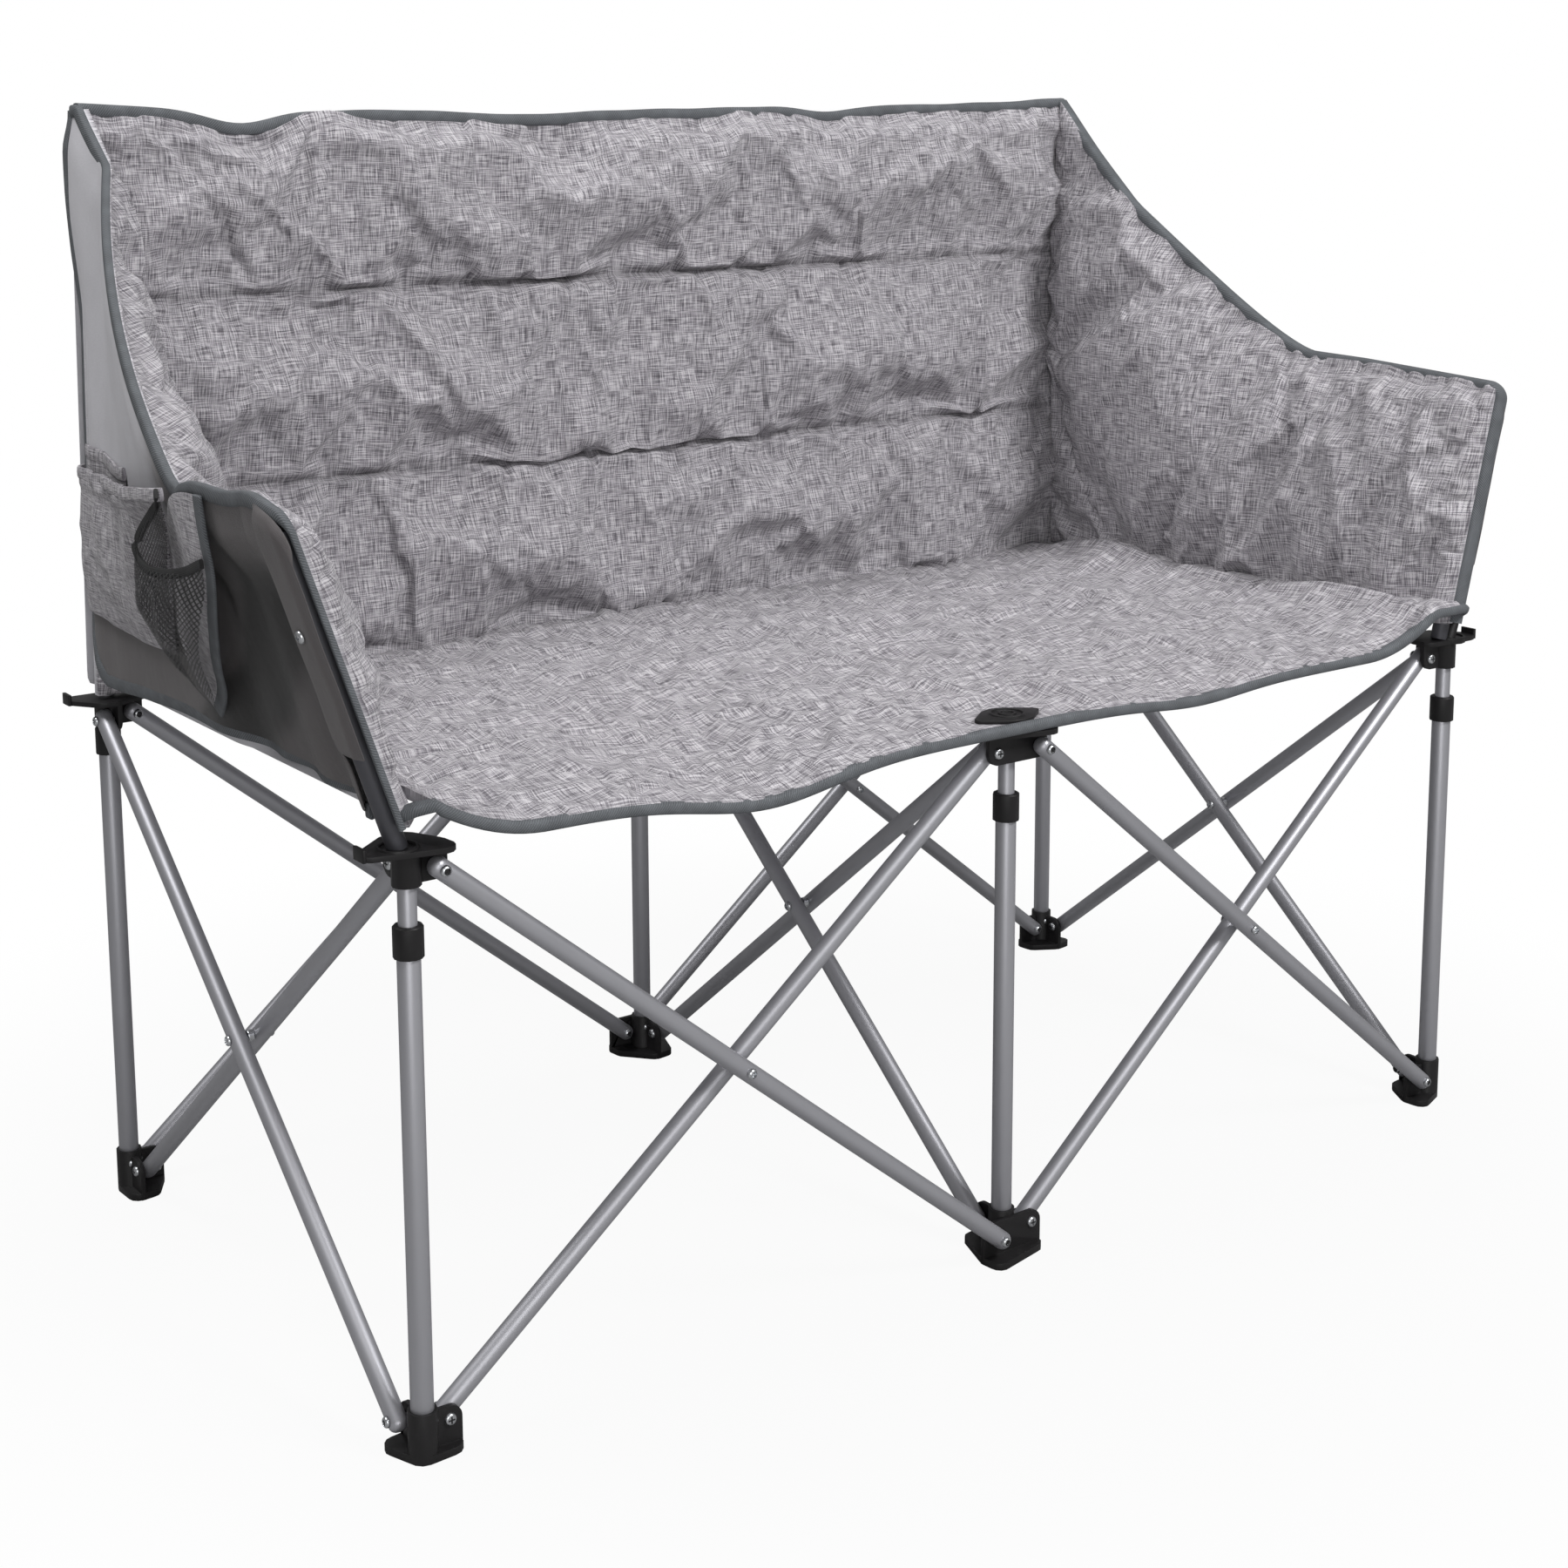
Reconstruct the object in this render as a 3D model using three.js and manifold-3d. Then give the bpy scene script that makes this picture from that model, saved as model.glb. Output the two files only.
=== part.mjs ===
// Folding camping loveseat: a scissor frame of steel tube on six telescopic legs, with moulded feet
// and hubs, under a padded two-seat cover. Millimetres, +Z up. The origin is on the ground at the
// middle of the frame, and the sitter faces -Y.

import * as THREE from 'three';
import { mergeVertices } from 'three/addons/utils/BufferGeometryUtils.js';
import Module from 'manifold-3d';

const wasm = await Module();
wasm.setup();

// Frame layout
const SPAN = 545; // between neighbouring leg axes, along a row and from front to back
const FOOT_PIVOT_Z = 24;
const HUB_PIVOT_Z = 434;
const PIVOT_OFFSET = 21; // from a leg axis to the pivots of its braces, along the brace
const LUG_OFFSET = 12; // from a centre leg's axis out to the lug walls of its row

// Tubes
const LOWER_OD = 17;
const LOWER_WALL = 1.3;
const UPPER_OD = 13.6;
const UPPER_WALL = 1.3;
const UPPER_BOTTOM_Z = 100; // lower end of the upper tubes, inside the lower ones
const BACK_POST_TOP_Z = 936;
const BRACE_OD = 15;
const BRACE_WALL = 1.2;
const BRACE_OVERHANG = 9; // of a brace past its end pivots
const BRACE_END_ROUND = 5;
const ARM_OD = 15;
const ARM_WALL = 1.3;
const ARM_LEAN = THREE.MathUtils.degToRad(19);
const ARM_BASE_OFFSET = 6; // of the arm post's foot, outwards from the leg axis
const ARM_POST_TOP_Z = 678;

// Mouldings
const LUG_T = 4;
const LUG_ROUND = 10; // around a pivot
const FOOT_BASE_T = 6;
const FOOT_PAD_R = 9; // of the base around each brace end
const FOOT_BOSS_R = 11;
const FOOT_BOSS_TOP_Z = 38;
const HUB_BOSS_R = 10.6;
const HUB_BOSS_DROP = 10.5; // of the boss below the pivots
const HUB_HEADROOM = 13; // from the pivots up to the flange plate
const PLATE_T = 4;
const PLATE_PAD_R = 11;
const PLATE_EAR_REACH = 25; // of the ear on a corner plate, outwards from the leg axis
const PLATE_EAR_R = 11;
const LIP_T = 3;
const LIP_LENGTH = 16;
const LIP_H = 5;
const RING_R = 15;
const RING_W = 2;
const RING_H = 1.6;
const SPIGOT_LENGTH = 30;
const COLLAR_T = 2.2;
const COLLAR_H = 23;
const COLLAR_LIP = 3;
const COLLAR_CHAMFER = 1;
const FRONT_COLLAR_DROP = 28; // from the hub boss down to the front collars
const REAR_COLLAR_DROP = 1;
const CLAMP_R = 22;
const CLAMP_REACH = 28; // of the clamp plate's pointed ends
const CLAMP_TIP_R = 5;
const CLAMP_T = 3;
const CLAMP_STUD_R = 4;

// Rivets
const PIN_D = 5;
const PIN_CLEARANCE = 0.3;
const HEAD_R = 4;
const HEAD_H = 2.2;
const DOME_SHOULDER = 0.65; // of a dome's radius, at DOME_RISE of its height
const DOME_RISE = 0.75;
const SPACER_R = 4.6;

// Clearances
const GAP = 0.3; // between pieces that touch
const SIDE_GAP = 0.5; // between a brace and its lug wall

// Cover
const SEAT_END_INSET = 8; // of the seat's ends, from the corner legs
const SEAT_FRONT_OVERHANG = 28; // in front of the front legs
const SEAT_BORDER = 30; // from the front legs back to the first seat crease
const SEAT_EDGE_T = 7;
const SEAT_CROWN = 13;
const SEAT_CLAMPED_T = 6;
const SEAT_SAG = 26;
const SAG_FREE = 45; // flat stretch around the hubs
const SAG_REAR_FADE = 120; // in front of the seat's rear edge, which the back holds level
const SEAT_END_LIFT = 20; // of the seat's ends, where the arms draw them up
const SEAT_END_WIDTH = 60;
const LIFT_REAR_FADE = 160;
const BACK_BOTTOM_Z = 461;
const BACK_TOP_Z = 950;
const BACK_SEAMS_Z = [622, 789];
const BACK_EDGE_T = 8;
const BACK_CROWN = 26;
const ARM_FRONT_OVERHANG = 10; // of the arms, in front of the front legs
const SLEEVE_Y = 12; // behind the front legs, the rear of the arm post sleeves
const ARM_REAR_OFFSET = 12; // of the arms' middle surfaces at the rear, outwards from the leg axes
const ARM_REAR_INSET = 26; // of the arm pads' rear edges, from the rear legs
const ARM_UPRIGHT = 125; // the arms stand upright from the rear legs to here
const ARM_LEAN_LENGTH = 270; // from there forwards to where they lean with their posts
const ARM_BOTTOM_Z = 468;
const ARM_FRONT_Z = 688;
const ARM_KNEE_Z = 701;
const ARM_KNEE_Y = 205; // from the front legs back to where the arm starts to climb
const ARM_CLIMB_POWER = 1.3;
const ARM_EDGE_T = 7;
const ARM_CROWN = 18;
const PANEL_T = 2.5;
const PANEL_HEM_Z = 466;
const PANEL_TRIM = 6; // the outer panels stop this far below the pads' top edges
const PANEL_REAR_WRAP = 7; // of a side panel past the rear legs
const POUCH = { rear: 527, front: 335, bottom: 525, top: 652, depth: 36 };
const CUP_HOLDER = { rear: 330, front: 150, bottom: 503, top: 640, depth: 44 };
const POCKET_T = 2;
const POCKET_GAP = 0.6; // between a pocket's sewn edges and the side panel

// Facets
const TUBE_SIDES = 12;
const BRACE_SIDES = 10;
const RIVET_SIDES = 8;
const OUTLINE_SIDES = 12;
const LUG_ARC_STEPS = 5;
const SEAT_COLUMNS = 11; // on each side of the clamp plate
const SEAT_ROWS = 6;
const BORDER_ROWS = 4;
const BACK_COLUMNS = 18;
const CHANNEL_ROWS = 5;
const PANEL_COLUMNS = 8;
const PANEL_ROWS = 5;
const SLEEVE_COLUMNS = 3;
const LEAN_COLUMNS = 6;
const UPRIGHT_COLUMNS = 2;
const ARM_ROWS = 8;
const POCKET_COLUMNS = 10;
const POCKET_ROWS = 5;

// Worked out from the sizes above
const ROW_Y = SPAN / 2;
const RUN = SPAN - 2 * PIVOT_OFFSET;
const RISE = HUB_PIVOT_Z - FOOT_PIVOT_Z;
const PITCH = Math.hypot(RUN, RISE);
const BRACE_PLANE = LUG_T / 2 + SIDE_GAP + BRACE_OD / 2; // from a lug wall's middle to its brace
const PLATE_Z = HUB_PIVOT_Z + HUB_HEADROOM;
const PLATE_TOP_Z = PLATE_Z + PLATE_T;
const HUB_BOSS_Z = HUB_PIVOT_Z - HUB_BOSS_DROP;
const SEAT_Z = PLATE_TOP_Z + GAP;
const POST_CLEAR = ARM_OD / 2 / Math.cos(ARM_LEAN) + GAP; // from a post's axis to the cover
const BACK_HALF_WIDTH = SPAN + ARM_REAR_OFFSET + POST_CLEAR - GAP;
const SEAT_HALF_WIDTH = SPAN - SEAT_END_INSET;
const SEAT_REAR_Y = SPAN - UPPER_OD / 2 - GAP - BACK_EDGE_T - GAP; // from the front legs
const SEAT_FOLD_Y = (SEAT_BORDER + SEAT_REAR_Y) / 2;
const CLAMP_HALF = CLAMP_REACH + CLAMP_TIP_R + GAP;
const ARM_UPRIGHT_Y = SPAN - ARM_UPRIGHT; // from the front legs
const ARM_LEANING_Y = ARM_UPRIGHT_Y - ARM_LEAN_LENGTH;

const FINISH = {
  tube: { color: 0x8c8c92, roughness: 0.38, metalness: 0.7 },
  arm: { color: 0x4a4a4e, roughness: 0.45, metalness: 0.5 },
  moulding: { color: 0x232121, roughness: 0.5, metalness: 0 },
  melange: { color: 0x969193, roughness: 0.9, metalness: 0 },
  lining: { color: 0x585454, roughness: 0.8, metalness: 0 },
  net: { color: 0x161616, roughness: 0.8, metalness: 0 },
};

const loveseat = new THREE.Group();

function addPiece(name, geometry, finish, parent = loveseat) {
  const material = new THREE.MeshStandardMaterial({ ...FINISH[finish], flatShading: true });
  const mesh = new THREE.Mesh(geometry, material);
  mesh.name = name;
  parent.add(mesh);
  return mesh;
}

// Solids and booleans

// One closed mesh with shared vertices, without the empty triangles at a lathe's poles.
function weld(geometry) {
  const bare = geometry.clone();
  bare.deleteAttribute('normal');
  bare.deleteAttribute('uv');
  const welded = mergeVertices(bare, 1e-4);
  const kept = [];
  for (let i = 0; i < welded.index.count; i += 3) {
    const [a, b, c] = [0, 1, 2].map((k) => welded.index.getX(i + k));
    if (a !== b && b !== c && c !== a) kept.push(a, b, c);
  }
  welded.setIndex(kept);
  return welded;
}

function solid(geometry) {
  const welded = weld(geometry);
  return new wasm.Manifold(
    new wasm.Mesh({
      numProp: 3,
      vertProperties: new Float32Array(welded.attributes.position.array),
      triVerts: new Uint32Array(welded.index.array),
    }),
  );
}

function geometryOf(body) {
  const mesh = body.getMesh();
  const geometry = new THREE.BufferGeometry();
  geometry.setAttribute('position', new THREE.BufferAttribute(mesh.vertProperties, 3));
  geometry.setIndex(new THREE.BufferAttribute(mesh.triVerts, 1));
  geometry.computeVertexNormals();
  return geometry;
}

// A body turned about Z from [radius, height] points.
function turned(points, sides) {
  const profile = points.map(([radius, height]) => new THREE.Vector2(radius, height));
  return new THREE.LatheGeometry(profile, sides).rotateX(Math.PI / 2);
}

function rod(radius, from, to, sides = TUBE_SIDES) {
  return turned([[0, from], [radius, from], [radius, to], [0, to]], sides);
}

function tube(outer, inner, from, to) {
  return turned([[inner, from], [outer, from], [outer, to], [inner, to], [inner, from]], TUBE_SIDES);
}

function slabUp(shape, from, to) {
  return new THREE.ExtrudeGeometry(shape, { depth: to - from, bevelEnabled: false }).translate(0, 0, from);
}

// The tight convex outline around discs given as [x, y, radius].
function outlineAround(discs) {
  const points = discs.flatMap(([x, y, radius]) =>
    Array.from({ length: OUTLINE_SIDES }, (_, i) => {
      const angle = (2 * Math.PI * i) / OUTLINE_SIDES;
      return new THREE.Vector2(x + radius * Math.cos(angle), y + radius * Math.sin(angle));
    }),
  );
  points.sort((p, q) => p.x - q.x || p.y - q.y);
  const turn = (o, p, q) => (p.x - o.x) * (q.y - o.y) - (p.y - o.y) * (q.x - o.x);
  const chain = (list) => {
    const kept = [];
    for (const point of list) {
      while (kept.length > 1 && turn(kept.at(-2), kept.at(-1), point) <= 1e-6) kept.pop();
      kept.push(point);
    }
    kept.pop();
    return kept;
  };
  return new THREE.Shape([...chain(points), ...chain([...points].reverse())]);
}

// Legs and lugs

const LEGS = [
  { name: 'front_left', col: -1, row: -1 },
  { name: 'front_centre', col: 0, row: -1 },
  { name: 'front_right', col: 1, row: -1 },
  { name: 'rear_left', col: -1, row: 1 },
  { name: 'rear_centre', col: 0, row: 1 },
  { name: 'rear_right', col: 1, row: 1 },
];
const legAt = (col, row) => LEGS.find((leg) => leg.col === col && leg.row === row);

// The directions in which a leg has a neighbour. Each lug has a frame of its own, whose X axis runs
// along the brace and whose Y axis crosses it: yaw turns it there, and wall is the lug wall's Y.
function lugsOf({ col, row }) {
  const lugs = [-1, 1]
    .filter((dir) => Math.abs(col + dir) <= 1)
    .map((dir) => ({
      yaw: dir > 0 ? 0 : Math.PI,
      wall: col === 0 ? dir * row * LUG_OFFSET : 0,
      to: legAt(col + dir, row),
      carriesRivet: dir === -row,
    }));
  lugs.push({
    yaw: (-row * Math.PI) / 2,
    wall: 0,
    to: legAt(col, -row),
    carriesRivet: col === 0 ? row > 0 : col === -row,
  });
  return lugs;
}

// A point of a lug's own frame, in its leg's frame.
function fromLug({ yaw }, x, y) {
  return [x * Math.cos(yaw) - y * Math.sin(yaw), x * Math.sin(yaw) + y * Math.cos(yaw)];
}

// A lug wall that stands on the base, or hangs from the plate, with a round corner at its pivot.
function lugWall(lug, pivotZ, rootZ) {
  const start = -LUG_T / 2; // past the leg axis, so that two walls in line join
  const end = PIVOT_OFFSET + LUG_ROUND;
  const up = Math.sign(pivotZ - rootZ);
  const shape = new THREE.Shape();
  shape.moveTo(start, rootZ);
  shape.lineTo(end, rootZ);
  shape.lineTo(end, pivotZ);
  shape.absarc(PIVOT_OFFSET, pivotZ, LUG_ROUND, 0, (up * Math.PI) / 2, up < 0);
  shape.lineTo(start, pivotZ + up * LUG_ROUND);
  shape.closePath();
  const options = { depth: LUG_T, bevelEnabled: false, curveSegments: LUG_ARC_STEPS };
  const wall = new THREE.ExtrudeGeometry(shape, options);
  return solid(wall.rotateX(Math.PI / 2).translate(0, lug.wall + LUG_T / 2, 0).rotateZ(lug.yaw));
}

// A rivet from the free face of a lug wall through the brace beside it. The brace is on the lug's
// +Y side at a foot and on its -Y side at a hub.
function pivotRivet(lug, pivotZ, side) {
  const face = -LUG_T / 2;
  const far = BRACE_PLANE + BRACE_OD / 2 + GAP;
  const rivet = turned(
    [
      [0, face - HEAD_H],
      [HEAD_R * DOME_SHOULDER, face - HEAD_H * DOME_RISE],
      [HEAD_R, face],
      [PIN_D / 2, face + LUG_T / 2],
      [PIN_D / 2, far],
      [HEAD_R, far],
      [HEAD_R * DOME_SHOULDER, far + HEAD_H * DOME_RISE],
      [0, far + HEAD_H],
    ],
    RIVET_SIDES,
  );
  rivet.rotateX((-side * Math.PI) / 2);
  return solid(rivet.translate(PIVOT_OFFSET, lug.wall, pivotZ).rotateZ(lug.yaw));
}

function footGeometry(leg) {
  const lugs = lugsOf(leg);
  const pads = lugs.map((lug) => [...fromLug(lug, PIVOT_OFFSET, lug.wall + BRACE_PLANE), FOOT_PAD_R]);
  const ends = lugs.map((lug) => [...fromLug(lug, PIVOT_OFFSET, lug.wall), LUG_ROUND]);
  const outline = outlineAround([[0, 0, FOOT_BOSS_R], ...pads, ...ends]);
  const boss = solid(rod(FOOT_BOSS_R, 0, FOOT_BOSS_TOP_Z));
  let body = solid(slabUp(outline, 0, FOOT_BASE_T)).add(boss);
  for (const lug of lugs) {
    body = body.add(lugWall(lug, FOOT_PIVOT_Z, 0)).add(pivotRivet(lug, FOOT_PIVOT_Z, 1));
  }
  const socket = solid(rod(LOWER_OD / 2 + GAP, FOOT_BASE_T, FOOT_BOSS_TOP_Z + 1));
  return geometryOf(body.subtract(socket));
}

// The leaning frame of an arm post: +Z along the post from the middle of its foot.
function leaned(geometry, col) {
  return geometry.rotateY(col * ARM_LEAN).translate(col * ARM_BASE_OFFSET, 0, PLATE_TOP_Z);
}

const holdsArm = ({ col, row }) => row < 0 && col !== 0;

function hubGeometry(leg) {
  const { col, row } = leg;
  const lugs = lugsOf(leg);
  const pads = lugs.map((lug) => [...fromLug(lug, PIVOT_OFFSET, lug.wall - BRACE_PLANE), PLATE_PAD_R]);
  const ends = lugs.map((lug) => [...fromLug(lug, PIVOT_OFFSET, lug.wall), LUG_ROUND]);
  const ears = col === 0 ? [] : [[col * PLATE_EAR_REACH, 0, PLATE_EAR_R]];
  const outline = outlineAround([[0, 0, HUB_BOSS_R], ...pads, ...ends, ...ears]);
  const boss = solid(rod(HUB_BOSS_R, HUB_BOSS_Z, PLATE_TOP_Z));
  let body = solid(slabUp(outline, PLATE_Z, PLATE_TOP_Z)).add(boss);
  for (const lug of lugs) {
    body = body.add(lugWall(lug, HUB_PIVOT_Z, PLATE_TOP_Z)).add(pivotRivet(lug, HUB_PIVOT_Z, -1));
  }
  if (col !== 0) {
    const lipX = col * (PLATE_EAR_REACH + PLATE_EAR_R - LIP_T / 2);
    const lipY = (LIP_LENGTH - LIP_T) / 2;
    const lip = outlineAround([-lipY, lipY].map((y) => [lipX, y, LIP_T / 2]));
    body = body.add(solid(slabUp(lip, PLATE_Z, PLATE_TOP_Z + LIP_H)));
  }
  if (holdsArm(leg)) {
    const ring = tube(RING_R, RING_R - RING_W, PLATE_Z, PLATE_TOP_Z + RING_H);
    const spigot = rod(ARM_OD / 2 - ARM_WALL - GAP, -PLATE_T / 2, SPIGOT_LENGTH);
    body = body.add(solid(ring.translate(col * ARM_BASE_OFFSET, 0, 0))).add(solid(leaned(spigot, col)));
  }
  const boreTop = row > 0 ? PLATE_TOP_Z + LIP_H : PLATE_Z;
  const bore = solid(rod(UPPER_OD / 2 + GAP, HUB_BOSS_Z - 1, boreTop));
  return geometryOf(body.subtract(bore));
}

function collarGeometry(top) {
  const inner = LOWER_OD / 2 + GAP;
  const outer = inner + COLLAR_T;
  const throat = LOWER_OD / 2 - LOWER_WALL;
  return turned(
    [
      [inner, top - COLLAR_H],
      [outer, top - COLLAR_H],
      [outer, top - COLLAR_CHAMFER],
      [outer - COLLAR_CHAMFER, top],
      [throat, top],
      [throat, top - COLLAR_LIP],
      [inner, top - COLLAR_LIP],
      [inner, top - COLLAR_H],
    ],
    TUBE_SIDES,
  );
}

// An arm post's foot is cut level, just above its plate.
function armPostGeometry(col) {
  const length = (ARM_POST_TOP_Z - PLATE_TOP_Z) / Math.cos(ARM_LEAN);
  const blank = solid(leaned(tube(ARM_OD / 2, ARM_OD / 2 - ARM_WALL, -ARM_OD, length), col));
  const below = new THREE.BoxGeometry(8 * ARM_OD, 8 * ARM_OD, 4 * ARM_OD);
  return geometryOf(blank.subtract(solid(below.translate(0, 0, PLATE_TOP_Z + GAP - 2 * ARM_OD))));
}

for (const leg of LEGS) {
  const stand = new THREE.Group();
  stand.position.set(leg.col * SPAN, leg.row * ROW_Y, 0);
  loveseat.add(stand);
  const collarTop = HUB_BOSS_Z - (leg.row < 0 ? FRONT_COLLAR_DROP : REAR_COLLAR_DROP);
  const lowerTop = collarTop - COLLAR_LIP - GAP;
  const upperTop = leg.row < 0 ? PLATE_Z - GAP : BACK_POST_TOP_Z;
  const lower = tube(LOWER_OD / 2, LOWER_OD / 2 - LOWER_WALL, FOOT_BASE_T + GAP, lowerTop);
  const upper = tube(UPPER_OD / 2, UPPER_OD / 2 - UPPER_WALL, UPPER_BOTTOM_Z, upperTop);
  addPiece(`foot_${leg.name}`, footGeometry(leg), 'moulding', stand);
  addPiece(`lower_tube_${leg.name}`, weld(lower), 'tube', stand);
  addPiece(`collar_${leg.name}`, weld(collarGeometry(collarTop)), 'moulding', stand);
  addPiece(`upper_tube_${leg.name}`, weld(upper), 'tube', stand);
  addPiece(`hub_${leg.name}`, hubGeometry(leg), 'moulding', stand);
  if (holdsArm(leg)) {
    addPiece(leg.name.replace('front', 'arm_post'), armPostGeometry(leg.col), 'arm', stand);
  }
}

// Braces

// A straight tube along X with closed round ends and cross holes for its rivets. One brace of each
// cross carries the crossing rivet, whose spacer keeps the other brace 2 BRACE_PLANE away along +Y.
// From its hub to its foot the tube moves over by drift, while its holes stay along Y.
function braceGeometry(carriesRivet, drift) {
  const radius = BRACE_OD / 2;
  const end = PITCH / 2 + BRACE_OVERHANG;
  const bore = radius - BRACE_WALL;
  const bareEnd = end - BRACE_END_ROUND;
  const skin = turned(
    [
      [0, -end],
      [radius * DOME_SHOULDER, BRACE_END_ROUND * (1 - DOME_RISE) - end],
      [radius, -bareEnd],
      [radius, bareEnd],
      [radius * DOME_SHOULDER, end - BRACE_END_ROUND * (1 - DOME_RISE)],
      [0, end],
    ],
    BRACE_SIDES,
  );
  const hollow = rod(bore, -bareEnd, bareEnd, BRACE_SIDES);
  let body = solid(skin.rotateY(Math.PI / 2)).subtract(solid(hollow.rotateY(Math.PI / 2)));
  const holes = carriesRivet ? [-PITCH / 2, PITCH / 2] : [-PITCH / 2, 0, PITCH / 2];
  for (const x of holes) {
    const hole = rod(PIN_D / 2 + PIN_CLEARANCE, -BRACE_OD, BRACE_OD, RIVET_SIDES);
    body = body.subtract(solid(hole.rotateX(-Math.PI / 2).translate(x, 0, 0)));
  }
  const shear = new THREE.Matrix4().makeShear(drift / PITCH, 0, 0, 0, 0, 0);
  if (!carriesRivet) return geometryOf(body).applyMatrix4(shear);
  const far = 2 * BRACE_PLANE + radius + GAP;
  const rivet = turned(
    [
      [0, -radius - HEAD_H],
      [HEAD_R * DOME_SHOULDER, -radius - HEAD_H * DOME_RISE],
      [HEAD_R, -radius],
      [PIN_D / 2, -bore],
      [PIN_D / 2, bore],
      [SPACER_R, bore],
      [SPACER_R, 2 * BRACE_PLANE - radius - GAP],
      [PIN_D / 2, 2 * BRACE_PLANE - radius - GAP],
      [PIN_D / 2, far],
      [HEAD_R, far],
      [HEAD_R * DOME_SHOULDER, far + HEAD_H * DOME_RISE],
      [0, far + HEAD_H],
    ],
    RIVET_SIDES,
  );
  return geometryOf(body.add(solid(rivet.rotateX(-Math.PI / 2)))).applyMatrix4(shear);
}

// Each brace goes from a hub down to the foot of a neighbouring leg.
for (const leg of LEGS) {
  for (const lug of lugsOf(leg)) {
    const side = new THREE.Group();
    side.position.set(leg.col * SPAN, leg.row * ROW_Y, 0);
    side.rotation.z = lug.yaw;
    loveseat.add(side);
    const facing = lugsOf(lug.to).find((other) => other.to === leg);
    const geometry = braceGeometry(lug.carriesRivet, -lug.wall - facing.wall);
    const brace = addPiece(`brace_${leg.name}_to_${lug.to.name}`, geometry, 'tube', side);
    const planeY = (lug.wall - facing.wall) / 2 - BRACE_PLANE;
    brace.position.set(SPAN / 2, planeY, (HUB_PIVOT_Z + FOOT_PIVOT_Z) / 2);
    brace.rotation.y = Math.atan2(RISE, RUN);
  }
}

// Cover

// A closed sheet between two faces. face(side, u, v) gives a point of the lower (0) or upper (1)
// face, with u and v from the given lists.
function sheet(us, vs, face) {
  const positions = [];
  for (const side of [0, 1]) {
    for (const u of us) {
      for (const v of vs) positions.push(...face(side, u, v));
    }
  }
  const at = (side, i, j) => (side * us.length + i) * vs.length + j;
  const index = [];
  const quad = (a, b, c, d) => index.push(a, b, c, a, c, d);
  const [lastU, lastV] = [us.length - 1, vs.length - 1];
  for (let i = 0; i < lastU; i += 1) {
    for (let j = 0; j < lastV; j += 1) {
      quad(at(1, i, j), at(1, i + 1, j), at(1, i + 1, j + 1), at(1, i, j + 1));
      quad(at(0, i, j), at(0, i, j + 1), at(0, i + 1, j + 1), at(0, i + 1, j));
    }
    quad(at(0, i, 0), at(0, i + 1, 0), at(1, i + 1, 0), at(1, i, 0));
    quad(at(0, i + 1, lastV), at(0, i, lastV), at(1, i, lastV), at(1, i + 1, lastV));
  }
  for (let j = 0; j < lastV; j += 1) {
    quad(at(0, 0, j + 1), at(0, 0, j), at(1, 0, j), at(1, 0, j + 1));
    quad(at(0, lastU, j), at(0, lastU, j + 1), at(1, lastU, j + 1), at(1, lastU, j));
  }
  const geometry = new THREE.BufferGeometry();
  geometry.setAttribute('position', new THREE.Float32BufferAttribute(positions, 3));
  geometry.setIndex(facesOut(positions, index) ? index : index.reverse());
  geometry.computeVertexNormals();
  return geometry;
}

// Whether a closed mesh's faces point out, by the sign of its volume.
function facesOut(positions, index) {
  const corner = (k) => new THREE.Vector3().fromArray(positions, 3 * index[k]);
  let volume = 0;
  for (let k = 0; k < index.length; k += 3) {
    volume += corner(k).dot(corner(k + 1).cross(corner(k + 2)));
  }
  return volume > 0;
}

const { smoothstep, lerp } = THREE.MathUtils;
const steps = (from, to, count) => Array.from({ length: count + 1 }, (_, i) => lerp(from, to, i / count));

// A crown that rises steeply from its drawn-in edges, from 0 at t = 0 and 1.
const crown = (t) => Math.sqrt(Math.max(0, Math.sin(Math.PI * t)));

// Seat: x from the middle, y back from the front legs. The hubs hold it up, and it sags between them.
function seatSag(x, y) {
  const fromHub = Math.abs(Math.abs(x) - SPAN / 2);
  const across = Math.min(1, Math.max(0, (SPAN / 2 - fromHub - SAG_FREE) / (SPAN / 2 - SAG_FREE)));
  const along = Math.min(1, Math.max(0, (y - SAG_FREE) / (SPAN - 2 * SAG_FREE)));
  const inward = Math.sin(Math.PI * along) ** 2;
  const ofRow = Math.sin((Math.PI / 2) * across) ** 2;
  const ofMiddle = Math.cos((Math.PI / 2) * Math.min(1, Math.abs(x) / SPAN)) ** 2;
  return SEAT_SAG * lerp(ofRow, ofMiddle, inward) * smoothstep(SEAT_REAR_Y - y, 0, SAG_REAR_FADE);
}

// The arms draw up the seat's ends, except at the back.
function seatLift(x, y) {
  const atEnd = smoothstep(Math.abs(x), SEAT_HALF_WIDTH - SEAT_END_WIDTH, SEAT_HALF_WIDTH);
  return SEAT_END_LIFT * atEnd * smoothstep(SEAT_REAR_Y - y, 0, LIFT_REAR_FADE);
}

function seatThickness(x, y, from, to) {
  const crowned = crown((y - from) / (to - from)) * crown((x / SEAT_HALF_WIDTH + 1) / 2);
  const padded = SEAT_EDGE_T + SEAT_CROWN * crowned;
  const away = Math.hypot(Math.max(0, Math.abs(x) - CLAMP_HALF), Math.max(0, Math.abs(y) - SEAT_BORDER));
  return lerp(SEAT_CLAMPED_T, padded, smoothstep(away, 0, 2 * CLAMP_HALF));
}

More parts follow.
